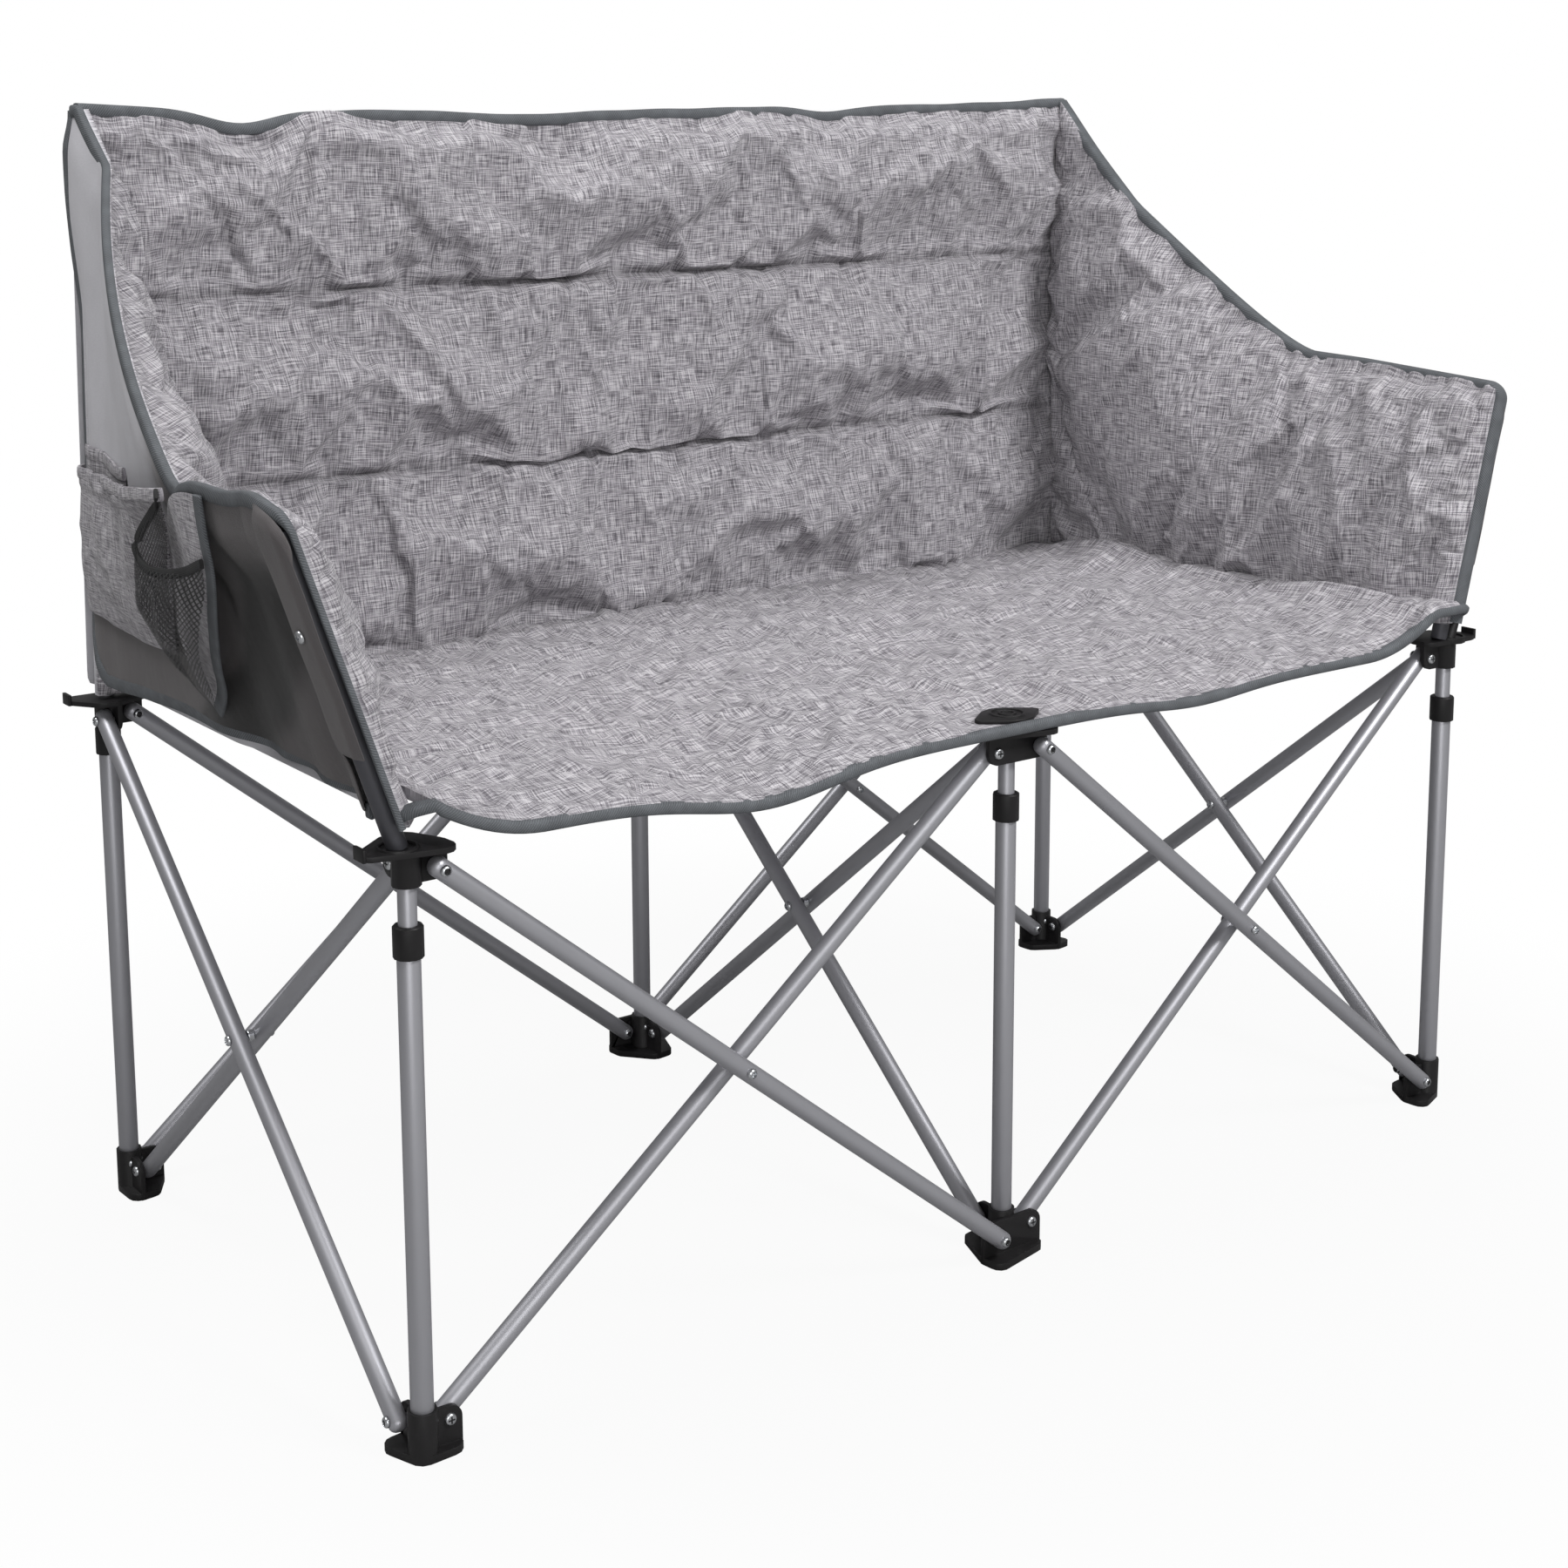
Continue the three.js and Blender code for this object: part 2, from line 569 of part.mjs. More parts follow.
function seatPanel(from, to, rows) {
  const right = steps(CLAMP_HALF, SEAT_HALF_WIDTH, SEAT_COLUMNS);
  const xs = [...right.map((x) => -x).reverse(), ...right];
  return sheet(xs, steps(from, to, rows), (side, x, y) => {
    const z = SEAT_Z - seatSag(x, y) + seatLift(x, y) + side * seatThickness(x, y, from, to);
    return [x, y - ROW_Y, z];
  });
}

const border = solid(seatPanel(-SEAT_FRONT_OVERHANG, SEAT_BORDER - GAP / 2, BORDER_ROWS));
const studHole = rod(CLAMP_STUD_R + GAP, SEAT_Z - 1, SEAT_Z + SEAT_CLAMPED_T + 1, RIVET_SIDES);
const holedBorder = border.subtract(solid(studHole.translate(0, -ROW_Y, 0)));
addPiece('seat_border', geometryOf(holedBorder), 'melange');
addPiece('seat_front', seatPanel(SEAT_BORDER + GAP / 2, SEAT_FOLD_Y - GAP / 2, SEAT_ROWS), 'melange');
addPiece('seat_rear', seatPanel(SEAT_FOLD_Y + GAP / 2, SEAT_REAR_Y, SEAT_ROWS), 'melange');

// The clamp plate that holds the seat down on the front centre hub, with two raised rings.
function clampPlateGeometry() {
  const bottom = SEAT_Z + SEAT_CLAMPED_T + GAP;
  const top = bottom + CLAMP_T;
  const tips = [-CLAMP_REACH, CLAMP_REACH].map((x) => [x, 0, CLAMP_TIP_R]);
  let body = solid(slabUp(outlineAround([[0, 0, CLAMP_R], ...tips]), bottom, top));
  for (const radius of [RING_R, RING_R / 2]) {
    body = body.add(solid(tube(radius, radius - RING_W, bottom, top + RING_H)));
  }
  return geometryOf(body.add(solid(rod(CLAMP_STUD_R, PLATE_TOP_Z + GAP, top, RIVET_SIDES))));
}
addPiece('clamp_plate', clampPlateGeometry(), 'moulding').position.y = -ROW_Y;

// Back pad, in three channels between its sewn lines, in front of the back posts.
const channels = [BACK_BOTTOM_Z, ...BACK_SEAMS_Z, BACK_TOP_Z];
const backRows = channels
  .slice(1)
  .flatMap((to, i) => steps(channels[i], to, CHANNEL_ROWS).slice(i === 0 ? 0 : 1));

function backThickness(x, z) {
  const i = channels.findLastIndex((edge, k) => z >= edge && k < channels.length - 1);
  const along = (z - channels[i]) / (channels[i + 1] - channels[i]);
  return BACK_EDGE_T + BACK_CROWN * crown(along) * crown((x / BACK_HALF_WIDTH + 1) / 2);
}

const backFace = ROW_Y - UPPER_OD / 2 - GAP;
const backColumns = steps(-BACK_HALF_WIDTH, BACK_HALF_WIDTH, BACK_COLUMNS);
const back = sheet(backColumns, backRows, (side, x, z) => [x, backFace - side * backThickness(x, z), z]);
addPiece('back_pad', back, 'melange');

const panelFace = ROW_Y + UPPER_OD / 2 + GAP;
const panelColumns = steps(-BACK_HALF_WIDTH, BACK_HALF_WIDTH, PANEL_COLUMNS);
const panelRows = steps(PANEL_HEM_Z, BACK_TOP_Z - PANEL_TRIM, PANEL_ROWS);
const backPanel = sheet(panelColumns, panelRows, (side, x, z) => [x, panelFace + side * PANEL_T, z]);
addPiece('back_panel', backPanel, 'lining');

// Arms: y back from the front legs. Their middle surface leans out with the arm post at the front
// and stands upright at the rear, and their top edge climbs to the back.
function armX(y, z) {
  const forward = Math.min(1, Math.max(0, (ARM_UPRIGHT_Y - y) / ARM_LEAN_LENGTH));
  return SPAN + lerp(ARM_REAR_OFFSET, ARM_BASE_OFFSET + Math.tan(ARM_LEAN) * (z - PLATE_TOP_Z), forward);
}

function armTop(y) {
  if (y < ARM_KNEE_Y) {
    return lerp(ARM_FRONT_Z, ARM_KNEE_Z, (y + ARM_FRONT_OVERHANG) / (ARM_KNEE_Y + ARM_FRONT_OVERHANG));
  }
  const climb = Math.min(1, (y - ARM_KNEE_Y) / (SPAN - ARM_REAR_INSET - ARM_KNEE_Y));
  return ARM_KNEE_Z + (BACK_TOP_Z - ARM_KNEE_Z) * climb ** ARM_CLIMB_POWER;
}

const armColumns = (rear) => [
  -ARM_FRONT_OVERHANG,
  ...steps(SLEEVE_Y, ARM_LEANING_Y, SLEEVE_COLUMNS),
  ...steps(ARM_LEANING_Y, ARM_UPRIGHT_Y, LEAN_COLUMNS).slice(1),
  ...steps(ARM_UPRIGHT_Y, rear, UPRIGHT_COLUMNS).slice(1),
];

function armPad(col) {
  const [front, rear] = [-ARM_FRONT_OVERHANG, SPAN - ARM_REAR_INSET];
  return sheet(armColumns(rear), steps(0, 1, ARM_ROWS), (side, y, up) => {
    const z = lerp(ARM_BOTTOM_Z, armTop(y), up);
    const thickness = ARM_EDGE_T + ARM_CROWN * crown((y - front) / (rear - front)) * crown(up);
    return [col * (armX(y, z) - POST_CLEAR - side * thickness), y - ROW_Y, z];
  });
}

function sidePanel(col) {
  return sheet(armColumns(SPAN + PANEL_REAR_WRAP), steps(0, 1, PANEL_ROWS), (side, y, up) => {
    const z = lerp(PANEL_HEM_Z, armTop(y) - PANEL_TRIM, up);
    return [col * (armX(y, z) + POST_CLEAR + side * PANEL_T), y - ROW_Y, z];
  });
}

for (const [name, col] of [['left', -1], ['right', 1]]) {
  addPiece(`arm_pad_${name}`, armPad(col), 'melange');
  addPiece(`side_panel_${name}`, sidePanel(col), 'lining');
}

// A pocket on the left side panel: sewn down along its sides and bottom, open at the top.
function pocket({ rear, front, bottom, top, depth }) {
  return sheet(steps(0, 1, POCKET_COLUMNS), steps(0, 1, POCKET_ROWS), (side, along, up) => {
    const y = lerp(front, rear, along);
    const z = lerp(bottom, top, up);
    const bulge = depth * crown(along) * Math.sin((Math.PI / 2) * up) ** 0.7;
    const out = armX(y, z) + POST_CLEAR + PANEL_T + POCKET_GAP + bulge + side * POCKET_T;
    return [-out, y - ROW_Y, z];
  });
}
addPiece('pouch_pocket', pocket(POUCH), 'melange');
addPiece('cup_holder', pocket(CUP_HOLDER), 'net');

export default loveseat;
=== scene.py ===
"""Camping loveseat: smooth tubes, moulded fittings and the padded cover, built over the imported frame."""

import math

import bpy
import numpy as np
from mathutils import Matrix, Vector, noise


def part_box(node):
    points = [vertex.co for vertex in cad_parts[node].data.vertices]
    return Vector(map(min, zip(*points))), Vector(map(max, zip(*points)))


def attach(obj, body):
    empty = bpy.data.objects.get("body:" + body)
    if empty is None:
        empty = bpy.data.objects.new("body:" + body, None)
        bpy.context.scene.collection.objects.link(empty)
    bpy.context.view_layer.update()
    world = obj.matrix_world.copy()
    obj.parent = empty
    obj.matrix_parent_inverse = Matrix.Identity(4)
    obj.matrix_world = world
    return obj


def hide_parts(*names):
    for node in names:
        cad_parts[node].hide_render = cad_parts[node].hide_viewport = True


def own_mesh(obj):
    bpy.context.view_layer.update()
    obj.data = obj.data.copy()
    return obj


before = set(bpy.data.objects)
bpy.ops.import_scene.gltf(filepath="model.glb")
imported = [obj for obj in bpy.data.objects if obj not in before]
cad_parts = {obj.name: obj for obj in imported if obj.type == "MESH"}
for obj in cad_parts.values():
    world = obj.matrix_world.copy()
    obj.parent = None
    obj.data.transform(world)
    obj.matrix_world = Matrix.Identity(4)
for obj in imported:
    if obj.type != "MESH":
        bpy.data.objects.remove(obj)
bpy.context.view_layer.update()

bl_info = {
    "name": "Camping Loveseat",
    "version": (1, 0, 0),
    "blender": (4, 5, 0),
    "location": "View3D > Sidebar > Loveseat",
    "description": "Dresses a folding loveseat frame with tubes, mouldings and a padded cover",
    "category": "Add Mesh",
}


# The frame's sizes: its span is read from a node, and the rest are those of the part

LEGS = {
    "front_left": (-1, -1),
    "front_centre": (0, -1),
    "front_right": (1, -1),
    "rear_left": (-1, 1),
    "rear_centre": (0, 1),
    "rear_right": (1, 1),
}
SIDES = (("left", -1), ("right", 1))


def middle_of(node):
    low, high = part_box(node)
    return [(a + b) / 2 for a, b in zip(low, high)]


SPAN = middle_of("lower_tube_front_right")[0]
ROW = SPAN / 2
PIVOT_LOW = 0.024
PIVOT_HIGH = 0.434
PIVOT_OFFSET = 0.021
LUG_OFFSET = 0.012
LUG_T = 0.004
BRACE_D = 0.015
BRACE_PLANE = LUG_T / 2 + 0.0005 + BRACE_D / 2
BRACE_PITCH = math.hypot(SPAN - 2 * PIVOT_OFFSET, PIVOT_HIGH - PIVOT_LOW)
BRACE_TILT = math.atan2(PIVOT_HIGH - PIVOT_LOW, SPAN - 2 * PIVOT_OFFSET)
CROSS_HEIGHT = (PIVOT_HIGH + PIVOT_LOW) / 2
PLATE_TOP = 0.451
ARM_LEAN = {-1: math.radians(19), 1: math.radians(14.3)}
ARM_BASE = {-1: 0.006, 1: -0.009}
ARM_REAR = 0.012
POST_CLEAR = 0.0082
REST_GAP = 0.0003


def leg_at(col, row):
    return next(name for name, place in LEGS.items() if place == (col, row))


def lugs_of(leg):
    """(neighbour, turn, wall) of each lug: its frame's X axis runs along the brace, turned by turn."""
    col, row = LEGS[leg]
    found = []
    for way in (-1, 1):
        if abs(col + way) <= 1:
            wall = way * row * LUG_OFFSET if col == 0 else 0.0
            found.append((leg_at(col + way, row), 0.0 if way > 0 else math.pi, wall))
    found.append((leg_at(col, -row), -row * math.pi / 2, 0.0))
    return found


def facing_wall(leg, other):
    """Place of the lug wall on another leg that faces this one."""
    return next(wall for to, _, wall in lugs_of(other) if to == leg)


def lug_frame(leg, turn):
    col, row = LEGS[leg]
    return Matrix.Translation((col * SPAN, row * ROW, 0)) @ Matrix.Rotation(turn, 4, "Z")


# What a user would change


def linear(red, green, blue):
    """A display colour, 0 to 255, as the linear colour that shaders take."""
    parts = [value / 255 for value in (red, green, blue)]
    return tuple(p / 12.92 if p <= 0.04045 else ((p + 0.055) / 1.055) ** 2.4 for p in parts)


def length(name, default, description):
    return bpy.props.FloatProperty(
        name=name, default=default, description=description, unit="LENGTH", precision=4
    )


def colour(name, default, description):
    return bpy.props.FloatVectorProperty(
        name=name, default=linear(*default), description=description, subtype="COLOR", size=3, min=0, max=1
    )


class LoveseatFrameSizes(bpy.types.PropertyGroup):
    tube_wall: length("Tube wall", 0.0013, "Wall of the leg tubes")
    brace_diameter: length("Brace diameter", BRACE_D, "Outside of the scissor tubes")
    brace_overhang: length("Brace overhang", 0.009, "Length of a scissor tube past its rivets")
    brace_round: length("Brace end radius", 0.0055, "Rounding of the closed tube ends")
    edge_round: length("Moulding edges", 0.0007, "Rounding of the edges of the mouldings")
    rivet_radius: length("Rivet radius", 0.0043, "Radius of the rivet heads")
    rivet_height: length("Rivet height", 0.0026, "Height of the rivet heads")


class LoveseatCoverSizes(bpy.types.PropertyGroup):
    back_top: length("Back top", 0.950, "Height of the back over its posts")
    back_bottom: length("Back bottom", 0.454, "Lower edge of the back")
    back_edge: length("Back edge", 0.009, "Thickness of the back at its edges and sewn lines")
    back_crown: length("Back crown", 0.024, "Swell of the back's channels")
    seat_half: length("Seat half width", 0.537, "From the middle to the seat's ends")
    seat_front: length("Seat overhang", 0.028, "Seat in front of the front legs")
    seat_edge: length("Seat edge", 0.008, "Thickness of the seat at its edges")
    seat_crown: length("Seat crown", 0.011, "Swell of the seat")
    seat_sag: length("Seat sag", 0.027, "Sag of the seat between the hubs")
    seat_lift: length("Seat lift", 0.029, "Rise of the seat at its ends, where the arms hold it up")
    arm_front: length("Arm front", 0.688, "Height of the arms at the front")
    arm_knee: length("Arm knee", 0.701, "Height of the arms where they start to climb")
    arm_edge: length("Arm edge", 0.007, "Thickness of the arms at their edges")
    arm_crown: length("Arm crown", 0.020, "Swell of the arms")
    tape_width: length("Tape width", 0.011, "Width of the edge tape")
    tape_thickness: length("Tape thickness", 0.0055, "Thickness of the taped edge")
    crease: length("Creases", 0.0065, "Height of the folds in the padded cloth")
    pinch: length("Sharp creases", 0.0042, "Height of the thin folds in the padded cloth")
    slack: bpy.props.FloatProperty(
        name="Slack",
        default=0.075,
        description="Spare cloth between the sewn lines",
        subtype="FACTOR",
        min=0,
        max=0.2,
    )


class LoveseatColours(bpy.types.PropertyGroup):
    thread_light: colour("Light thread", (190, 187, 191), "Pale yarn of the melange cloth")
    thread_mid: colour("Middle thread", (141, 138, 143), "Main yarn of the melange cloth")
    thread_dark: colour("Dark thread", (76, 72, 79), "Dark yarn of the melange cloth")
    lining: colour("Lining", (192, 191, 196), "Plain cloth on the outside")
    # Painted shade: a shaded copy of the lining tone, for the post sleeves, the arms' fronts and the cloth
    # low under the pockets
    lining_dark: colour("Dark lining", (80, 76, 77), "Plain cloth of the sleeves and under the pockets")
    tape: colour("Tape", (88, 91, 95), "Edge tape")
    tape_thread: colour("Tape thread", (146, 151, 156), "Overlock thread on the edge tape")
    paint: colour("Tube paint", (166, 166, 171), "Silver-grey tube paint")
    dark_paint: colour("Dark paint", (74, 74, 79), "Arm post paint")
    moulding: colour("Moulding", (24, 23, 24), "Black mouldings")
    zinc: colour("Zinc", (205, 207, 210), "Rivets and screws")
    net: colour("Net", (18, 18, 19), "Black net and elastic")


def frame_sizes():
    return bpy.context.scene.loveseat_frame


def cover():
    return bpy.context.scene.loveseat_cover


def colours():
    return bpy.context.scene.loveseat_colours


# Finishes, with the pitch of their threads in metres

MELANGE_PITCH = 0.0016
LINING_PITCH = 0.0011
OVERLOCK_PITCH = 0.0021
TAPE_RIB_PITCH = 0.0011
ELASTIC_PITCH = 0.0012
NET_CELL = (0.0062, 0.0050)


class Shade:
    """A shader socket. Arithmetic on it adds Math nodes."""

    def __init__(self, finish, socket):
        self.finish = finish
        self.socket = socket

    def math(self, operation, *values):
        return self.finish.node("ShaderNodeMath", {"operation": operation}, dict(enumerate(values)))

    def __add__(self, other):
        return self.math("ADD", self, other)

    __radd__ = __add__

    def __sub__(self, other):
        return self.math("SUBTRACT", self, other)

    def __rsub__(self, other):
        return self.math("SUBTRACT", other, self)

    def __mul__(self, other):
        return self.math("MULTIPLY", self, other)

    __rmul__ = __mul__

    def sine(self):
        return self.math("SINE", self)

    def size(self):
        return self.math("ABSOLUTE", self)

    def ramp(self, low, high):
        """0 at low and 1 at high, smooth between."""
        settings = {"interpolation_type": "SMOOTHSTEP"}
        return self.finish.node("ShaderNodeMapRange", settings, {0: self, 1: low, 2: high, 3: 0.0, 4: 1.0})


class Finish:
    """A material and the one way to add nodes to it."""

    def __init__(self, name):
        self.material = bpy.data.materials.new(name)
        self.material.use_nodes = True
        self.tree = self.material.node_tree
        self.tree.nodes.clear()
        self.surface = self.tree.nodes.new("ShaderNodeBsdfPrincipled")
        output = self.tree.nodes.new("ShaderNodeOutputMaterial")
        self.tree.links.new(self.surface.outputs[0], output.inputs[0])

    def node(self, kind, settings=None, inputs=None, output=0):
        made = self.tree.nodes.new(kind)
        for key, value in (settings or {}).items():
            setattr(made, key, value)
        for key, value in (inputs or {}).items():
            self.feed(made.inputs[key], value)
        return Shade(self, made.outputs[output])

    def feed(self, socket, value):
        if isinstance(value, Shade):
            self.tree.links.new(value.socket, socket)
        elif socket.type == "RGBA" and len(value) == 3:
            socket.default_value = (*value, 1)
        else:
            socket.default_value = value

    def set(self, **inputs):
        for key, value in inputs.items():
            self.feed(self.surface.inputs[key.replace("_", " ")], value)
        return self

    def cut(self):
        """The cloth's own coordinates, in metres along its two threads."""
        return self.node("ShaderNodeUVMap", {"uv_map": "cut"})

    def place(self):
        return self.node("ShaderNodeTexCoord", output=3)

    def scaled(self, vector, *factors):
        return self.node("ShaderNodeVectorMath", {"operation": "MULTIPLY"}, {0: vector, 1: factors})

    def along(self, vector, axis):
        return self.node("ShaderNodeSeparateXYZ", inputs={0: vector}, output="XYZ".index(axis))

    def wave(self, vector, axis, pitch):
        return (self.along(vector, axis) * (2 * math.pi / pitch)).sine()

    def noise(self, vector, scale=1.0, detail=2.0, roughness=0.5):
        inputs = {"Vector": vector, "Scale": scale, "Detail": detail, "Roughness": roughness}
        return self.node("ShaderNodeTexNoise", inputs=inputs)

    def mix(self, factor, first, second):
        return self.node("ShaderNodeMix", {"data_type": "RGBA"}, {0: factor, 6: first, 7: second}, output=2)

    def bump(self, height, distance, strength=1.0, over=None):
        inputs = {"Height": height, "Distance": distance, "Strength": strength}
        if over is not None:
            inputs["Normal"] = over
        return self.node("ShaderNodeBump", inputs=inputs)

    def attribute(self, name):
        return self.node("ShaderNodeAttribute", {"attribute_name": name}, output=2)


def dimmed(tone, factor):
    return tuple(part * factor for part in tone)


def melange_cloth():
    """Woven cloth of pale and dark yarns: long slubs both ways over a fine weave."""
    finish = Finish("melange_cloth")
    cut = finish.cut()
    weft = finish.noise(finish.scaled(cut, 60, 1300, 1), detail=2)
    warp = finish.noise(finish.scaled(cut, 1300, 60, 1), detail=2)
    broad_weft = finish.noise(finish.scaled(cut, 22, 700, 1), detail=2)
    broad_warp = finish.noise(finish.scaled(cut, 700, 22, 1), detail=2)
    cloud = finish.noise(cut, scale=9, detail=3)
    yarn = weft * 0.38 + warp * 0.38 + broad_weft * 0.12 + broad_warp * 0.12
    light = yarn.ramp(0.49, 0.58)
    dark = yarn.ramp(0.50, 0.41)
    tone = finish.mix(light, colours().thread_mid, colours().thread_light)
    tone = finish.mix(dark * 0.9, tone, colours().thread_dark)
    seam = finish.attribute("seam")
    # Darker at random in soft clouds, and painted shade along the sewn lines
    shade = (cloud - 0.5).size() * 0.06 + seam * 0.4
    tone = finish.mix(shade, tone, dimmed(colours().thread_dark, 0.35))
    tone = finish.mix(finish.attribute("plain"), tone, colours().lining)
    weave = finish.wave(cut, "X", MELANGE_PITCH) * finish.wave(cut, "Y", MELANGE_PITCH)
    creases = finish.noise(finish.scaled(cut, 26, 17, 1), detail=4, roughness=0.55)
    soft = finish.bump(creases, 0.006, 0.25)
    fine = finish.bump(weave * 0.5 + yarn * 2, 0.0005, 0.55, over=soft)
    finish.set(Base_Color=tone, Roughness=0.92, Normal=fine, Sheen_Weight=0.12, Sheen_Roughness=0.5)
    return finish.material


def lining_cloth():
    """Plain cloth with a close weave and a soft sheen, with painted shade where its mesh's shade attribute
    says: the shaded lining tone, and near black for the painted shadow in the deepest recess.
    """
    finish = Finish("lining_cloth")
    cut = finish.cut()
    fleck = finish.noise(finish.scaled(cut, 300, 900, 1), detail=2)
    cloud = finish.noise(cut, scale=14, detail=3)
    dark = colours().lining_dark
    base = finish.mix(finish.attribute("shade").ramp(0, 1), colours().lining, dark)
    # Painted shadow: from shade 1 to 2 the cloth goes near black, in the recess behind the loose pocket
    # panel
    base = finish.mix(finish.attribute("shade").ramp(1, 2), base, dimmed(dark, 0.1))
    grain = 0.9 + fleck * 0.2 - cloud.ramp(0.45, 0.75) * 0.08
    tone = finish.node("ShaderNodeVectorMath", {"operation": "SCALE"}, {0: base, "Scale": grain})
    weave = finish.wave(cut, "X", LINING_PITCH) * finish.wave(cut, "Y", LINING_PITCH)
    creases = finish.noise(finish.scaled(cut, 30, 12, 1), detail=4)
    soft = finish.bump(creases, 0.005, 0.5)
    fine = finish.bump(weave, 0.0003, 0.5, over=soft)
    rough = 0.62 + fleck * 0.2
    return finish.set(Base_Color=tone, Roughness=rough, Normal=fine, Sheen_Weight=0.15).material


def edge_tape():
    """Folded tape with a slanting overlock thread."""
    finish = Finish("edge_tape")
    cut = finish.cut()
    run = finish.along(cut, "X")
    over = finish.along(cut, "Y")
    slant = ((run + over * 0.7) * (2 * math.pi / OVERLOCK_PITCH)).sine()
    thread = slant.ramp(0.45, 0.95)
    rib = finish.wave(cut, "X", TAPE_RIB_PITCH)
    wear = finish.noise(cut, scale=60, detail=3)
    base = colours().tape
    tone = finish.mix(wear.ramp(0.35, 0.7), dimmed(base, 0.72), base)
    tone = finish.mix(thread * 0.4, tone, colours().tape_thread)
    fine = finish.bump(rib * 0.3 + thread, 0.0006, 0.7)
    return finish.set(Base_Color=tone, Roughness=0.78, Normal=fine).material


def tube_paint(name, tone_of, metal):
    """Satin metallic paint with rubbed patches."""
    finish = Finish(name)
    place = finish.place()
    rub = finish.noise(finish.scaled(place, 30, 30, 9), detail=2)
    tone = finish.mix(rub.ramp(0.58, 0.75) * 0.08, tone_of, dimmed(tone_of, 0.6))
    return finish.set(Base_Color=tone, Roughness=0.40 + rub * 0.10, Metallic=metal).material


def black_plastic():
    """Black moulded plastic with a fine spark-eroded grain and scuffed patches."""
    finish = Finish("black_plastic")
    place = finish.place()
    grain = finish.noise(place, scale=1500, detail=2)
    scuff = finish.noise(place, scale=110, detail=5, roughness=0.7)
    base = colours().moulding
    tone = finish.mix(scuff.ramp(0.55, 0.8) * 0.35, base, tuple(c * 2.2 + 0.004 for c in base))
    rough = 0.40 + scuff * 0.14
    skin = finish.bump(grain, 0.0001, 0.25)
    return finish.set(Base_Color=tone, Roughness=rough, Normal=skin, Specular_IOR_Level=0.3).material


def zinc_plate():
    """Bright zinc with fine polishing marks."""
    finish = Finish("zinc_plate")
    place = finish.place()
    marks = finish.noise(finish.scaled(place, 900, 900, 200), detail=3)
    base = colours().zinc
    tone = finish.mix(marks.ramp(0.3, 0.8), dimmed(base, 0.8), base)
    return finish.set(Base_Color=tone, Roughness=0.2 + marks * 0.18, Metallic=1.0).material


def black_net():
    """Open net of knotted black thread: the cloth's coordinates give the diamond cells."""
    finish = Finish("black_net")
    cut = finish.cut()
    across = finish.along(cut, "X") * (math.pi / NET_CELL[0])
    up = finish.along(cut, "Y") * (math.pi / NET_CELL[1])
    first = (across + up).sine().size()
    second = (across - up).sine().size()
    nearest = first.math("MINIMUM", first, second)
    thread = 1 - nearest.ramp(0.24, 0.40)
    glint = finish.noise(cut, scale=600, detail=2)
    tone = finish.mix(glint, colours().net, tuple(c * 3 + 0.02 for c in colours().net))
    rounded = finish.bump(1 - nearest, 0.0006, 0.8)
    return finish.set(Base_Color=tone, Roughness=0.45, Alpha=thread, Normal=rounded).material


def black_elastic():
    """Ribbed black elastic band."""
    finish = Finish("black_elastic")
    cut = finish.cut()
    rib = finish.wave(cut, "Y", ELASTIC_PITCH)
    knit = finish.noise(cut, scale=900, detail=2)
    tone = finish.mix(knit, colours().net, tuple(c * 2 + 0.006 for c in colours().net))
    skin = finish.bump(rib + knit, 0.0003, 0.6)
    return finish.set(Base_Color=tone, Roughness=0.7, Normal=skin).material


FINISHES = {
    "melange_cloth": melange_cloth,
    "lining_cloth": lining_cloth,
    "edge_tape": edge_tape,
    "grey_paint": lambda: tube_paint("grey_paint", colours().paint, 0.72),
    "dark_paint": lambda: tube_paint("dark_paint", colours().dark_paint, 0.45),
    "black_plastic": black_plastic,
    "zinc_plate": zinc_plate,
    "black_net": black_net,
    "black_elastic": black_elastic,
}


def finish_named(name):
    return bpy.data.materials.get(name) or FINISHES[name]()


# Modelling


def activate(piece):
    bpy.ops.object.select_all(action="DESELECT")
    piece.select_set(True)
    bpy.context.view_layer.objects.active = piece


def in_edit(piece, mode="VERT"):
    activate(piece)
    bpy.context.tool_settings.mesh_select_mode = tuple(mode == kind for kind in ("VERT", "EDGE", "FACE"))
    bpy.ops.object.mode_set(mode="EDIT")


def all_in_edit(piece):
    in_edit(piece)
    bpy.ops.mesh.select_all(action="SELECT")


def out_of_edit():
    bpy.ops.object.mode_set(mode="OBJECT")


def pick(piece, kind, test):
    """Selects the vertices, edges or faces that pass the test, in object mode, for the next edit."""
    mesh = piece.data
    for group in (mesh.vertices, mesh.edges, mesh.polygons):
        group.foreach_set("select", [False] * len(group))
    for element in getattr(mesh, kind):
        element.select = test(element)


def apply_modifiers(piece):
    activate(piece)
    for modifier in list(piece.modifiers):
        bpy.ops.object.modifier_apply(modifier=modifier.name)


def smooth(piece, angle=40):
    activate(piece)
    bpy.ops.object.shade_smooth_by_angle(angle=math.radians(angle))


def added(name, add, **settings):
    """The object that a primitive operator makes, with its place applied to its mesh."""
    bpy.ops.object.select_all(action="DESELECT")
    add(**settings)
    piece = bpy.context.active_object
    piece.name = name
    piece.data.name = name
    bpy.ops.object.transform_apply(location=True, rotation=True, scale=True)
    return piece


def copy_of(model, name, place):
    """A copy of a model with its own mesh, moved to its place."""
    piece = bpy.data.objects.new(name, model.data.copy())
    bpy.context.collection.objects.link(piece)
    piece.data.transform(place)
    return piece


def joined(pieces, name):
    bpy.ops.object.select_all(action="DESELECT")
    for piece in pieces:
        piece.select_set(True)
    bpy.context.view_layer.objects.active = pieces[0]
    bpy.ops.object.join()
    pieces[0].name = name
    return pieces[0]


def discard(piece):
    bpy.data.objects.remove(piece, do_unlink=True)


